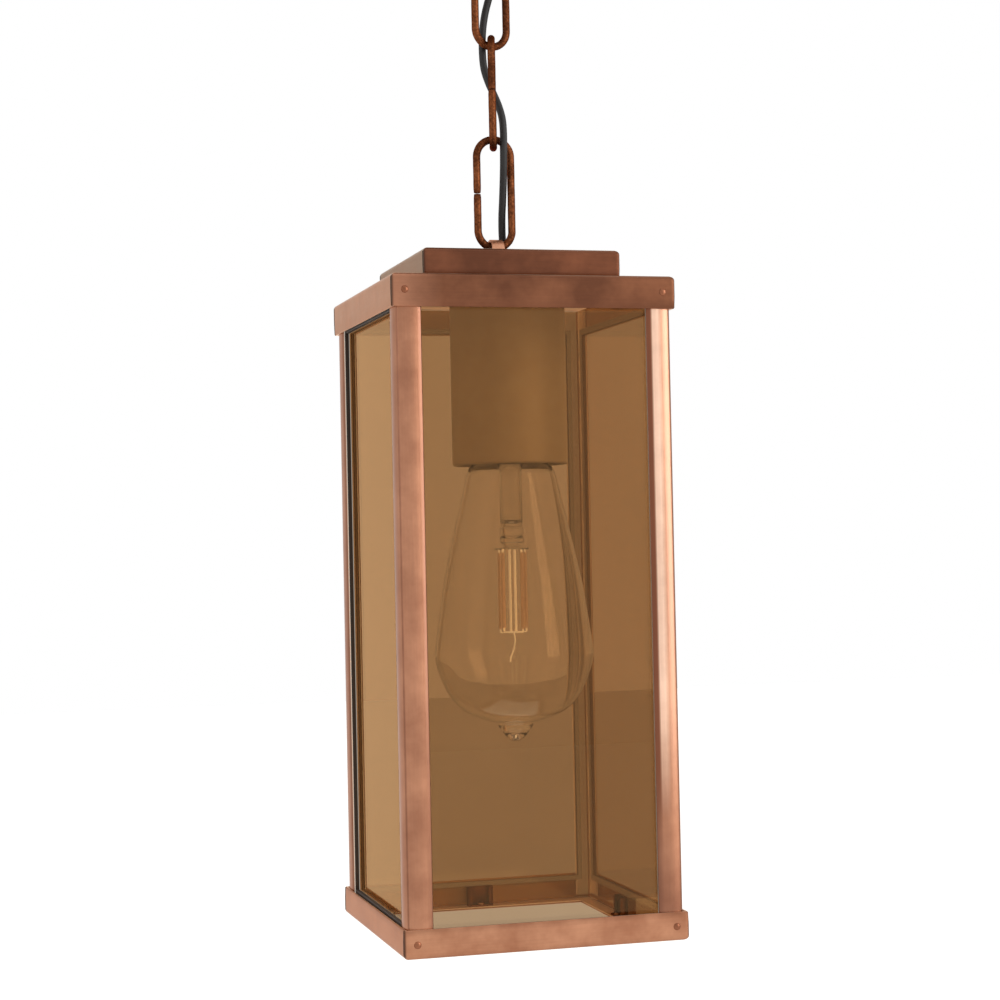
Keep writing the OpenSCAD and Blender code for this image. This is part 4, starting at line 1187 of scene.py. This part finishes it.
# %% [markdown]
# The rest is inside the ceiling fitting, the crown and the cup, where the CAD shapes already hold what the
# eye can reach. These nodes stay, and each gets the finish of its own material.

# %% Hidden hardware
KEPT = {
    ("zinc_steel", "ceiling_bracket loop_nuts crown_screws crown_nuts cord_clamp clamp_screws"): zinc,
    ("brass_parts", "terminal_screws earth_screw holder_nipple nipple_nuts screw_shell centre_contact "
                    "lampholder_screws"): brass,
    ("black_plastic", "ceiling_terminal_block crown_terminal_block bulb_insulator"): plastic,
    ("wire_sheath", "lamp_wires earth_wire"): wire_skin,
    ("porcelain", "lampholder_dome lampholder_body"): porcelain,
    ("copper_sheet", "clip_rivets"): small_copper,
    ("bulb_metal", "bulb_contact"): nickel,
}
for (slot, names), finish in KEPT.items():
    for name in names.split():
        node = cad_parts[name]
        node.data.materials.clear()
        node.data.materials.append(finish)
print("kept nodes:", sum(len(names.split()) for _, names in KEPT))

# %% [markdown]
# The studio: a pale floor well below the lantern and an even white surround that camera, gloss and glass all
# see as white, while it lights matt surfaces more softly. The floor glows a little too: in full for camera
# and gloss, and less through glass, which keeps the lower part of the panes deep. A tall lamp at the front
# right puts the long highlight on the right post, a broad one at the left wraps the side, and a weak one
# fills from above.

# %% Floor and surround
scene = bpy.context.scene
scene.view_settings.view_transform = "Standard"


def seen_directly(net, through_glass=1.0):
    """1 for rays from the camera and from gloss, and a chosen share for rays through glass."""
    path = net.node("ShaderNodeLightPath", out="Is Camera Ray")
    glassy = path.out("Is Transmission Ray")
    return path.most(path.out("Is Glossy Ray").most(glassy) * (1.0 - glassy * (1.0 - through_glass)))


world = bpy.data.worlds.new("surround")
world.use_nodes = True
world.node_tree.nodes.clear()
sky = Net(world.node_tree)
MATT_SHARE = 0.62
sky_strength = MATT_SHARE + (1.0 - MATT_SHARE) * seen_directly(sky)
sky_light = sky.node("ShaderNodeBackground", None, {"Color": WHITE, "Strength": sky_strength})
sky.node("ShaderNodeOutputWorld", None, {"Surface": sky_light})
scene.world = world

FLOOR_Z = -1.15
FLOOR_GLOW = 0.75
GLOW_THROUGH_GLASS = 0.4
floor_mesh = bpy.data.meshes.new("studio_floor")
floor_mesh.from_pydata([(-8, -8, FLOOR_Z), (8, -8, FLOOR_Z), (8, 11, FLOOR_Z), (-8, 11, FLOOR_Z)], [],
                       [(0, 1, 2, 3)])
floor = bpy.data.objects.new("studio_floor", floor_mesh)
scene.collection.objects.link(floor)
paint = Finish("floor_paint")
mottle = paint.noise(paint.place, 3.0, 2.0, 0.5)
floor_mesh.materials.append(paint.finish({
    "Base Color": paint.blend(mottle, (0.62, 0.59, 0.55, 1.0), (0.65, 0.62, 0.58, 1.0)), "Roughness": 0.9,
    "Emission Color": WHITE, "Emission Strength": FLOOR_GLOW * seen_directly(paint, GLOW_THROUGH_GLASS)}))

# %% Lamps
AIM = Vector((0.0, 0.0, -0.31))


def away_vector(azimuth, elevation):
    """Unit vector from the lantern; azimuth 0 is the front, and it grows to the right."""
    a = math.radians(azimuth)
    e = math.radians(elevation)
    return Vector((math.sin(a) * math.cos(e), -math.cos(a) * math.cos(e), math.sin(e)))


def lamp(name, azimuth, elevation, distance, width, height, radiance):
    """A soft rectangular lamp that faces the lantern; its power follows from its size and radiance."""
    away = away_vector(azimuth, elevation)
    data = bpy.data.lights.new(name, "AREA")
    data.shape = "RECTANGLE"
    data.size = width
    data.size_y = height
    data.energy = radiance * math.pi * width * height
    holder = bpy.data.objects.new(name, data)
    holder.location = AIM + away * distance
    holder.rotation_mode = "QUATERNION"
    holder.rotation_quaternion = (-away).to_track_quat("-Z", "Y")
    scene.collection.objects.link(holder)


lamp("right_lamp", 46.0, 15.0, 1.8, 0.8, 1.35, 4.2)
lamp("left_lamp", -70.0, 20.0, 1.8, 1.2, 1.2, 0.6)
lamp("top_lamp", 0.0, 80.0, 1.6, 1.4, 1.4, 0.5)
print("lamps:", len(bpy.data.lights))

# %% [markdown]
# The camera stands a little to the left of the lantern's front and just below its middle, and looks very
# slightly upwards with a long lens, which keeps the tall body from leaning.

# %% Camera
SENSOR = 36.0
camera_data = bpy.data.cameras.new("camera")
camera_data.sensor_width = SENSOR
camera_data.lens = 76.635
camera = bpy.data.objects.new("camera", camera_data)
stand = Vector((0.0, 0.0, -0.31015)) + away_vector(-15.5785, 1.518) * 0.85909
back = away_vector(-15.5615, -1.2255)
right = (-back).cross(Vector((0, 0, 1))).normalized()
up = right.cross(-back)
roll = math.radians(-1.1917)
side_axis = right * math.cos(roll) + up * math.sin(roll)
up_axis = -right * math.sin(roll) + up * math.cos(roll)
pose = Matrix((side_axis, up_axis, back)).transposed().to_4x4()
pose.translation = stand
camera.matrix_world = pose
scene.collection.objects.link(camera)
scene.camera = camera

# %% End
bpy.context.view_layer.update()
print("pieces made:", len(pieces_made))
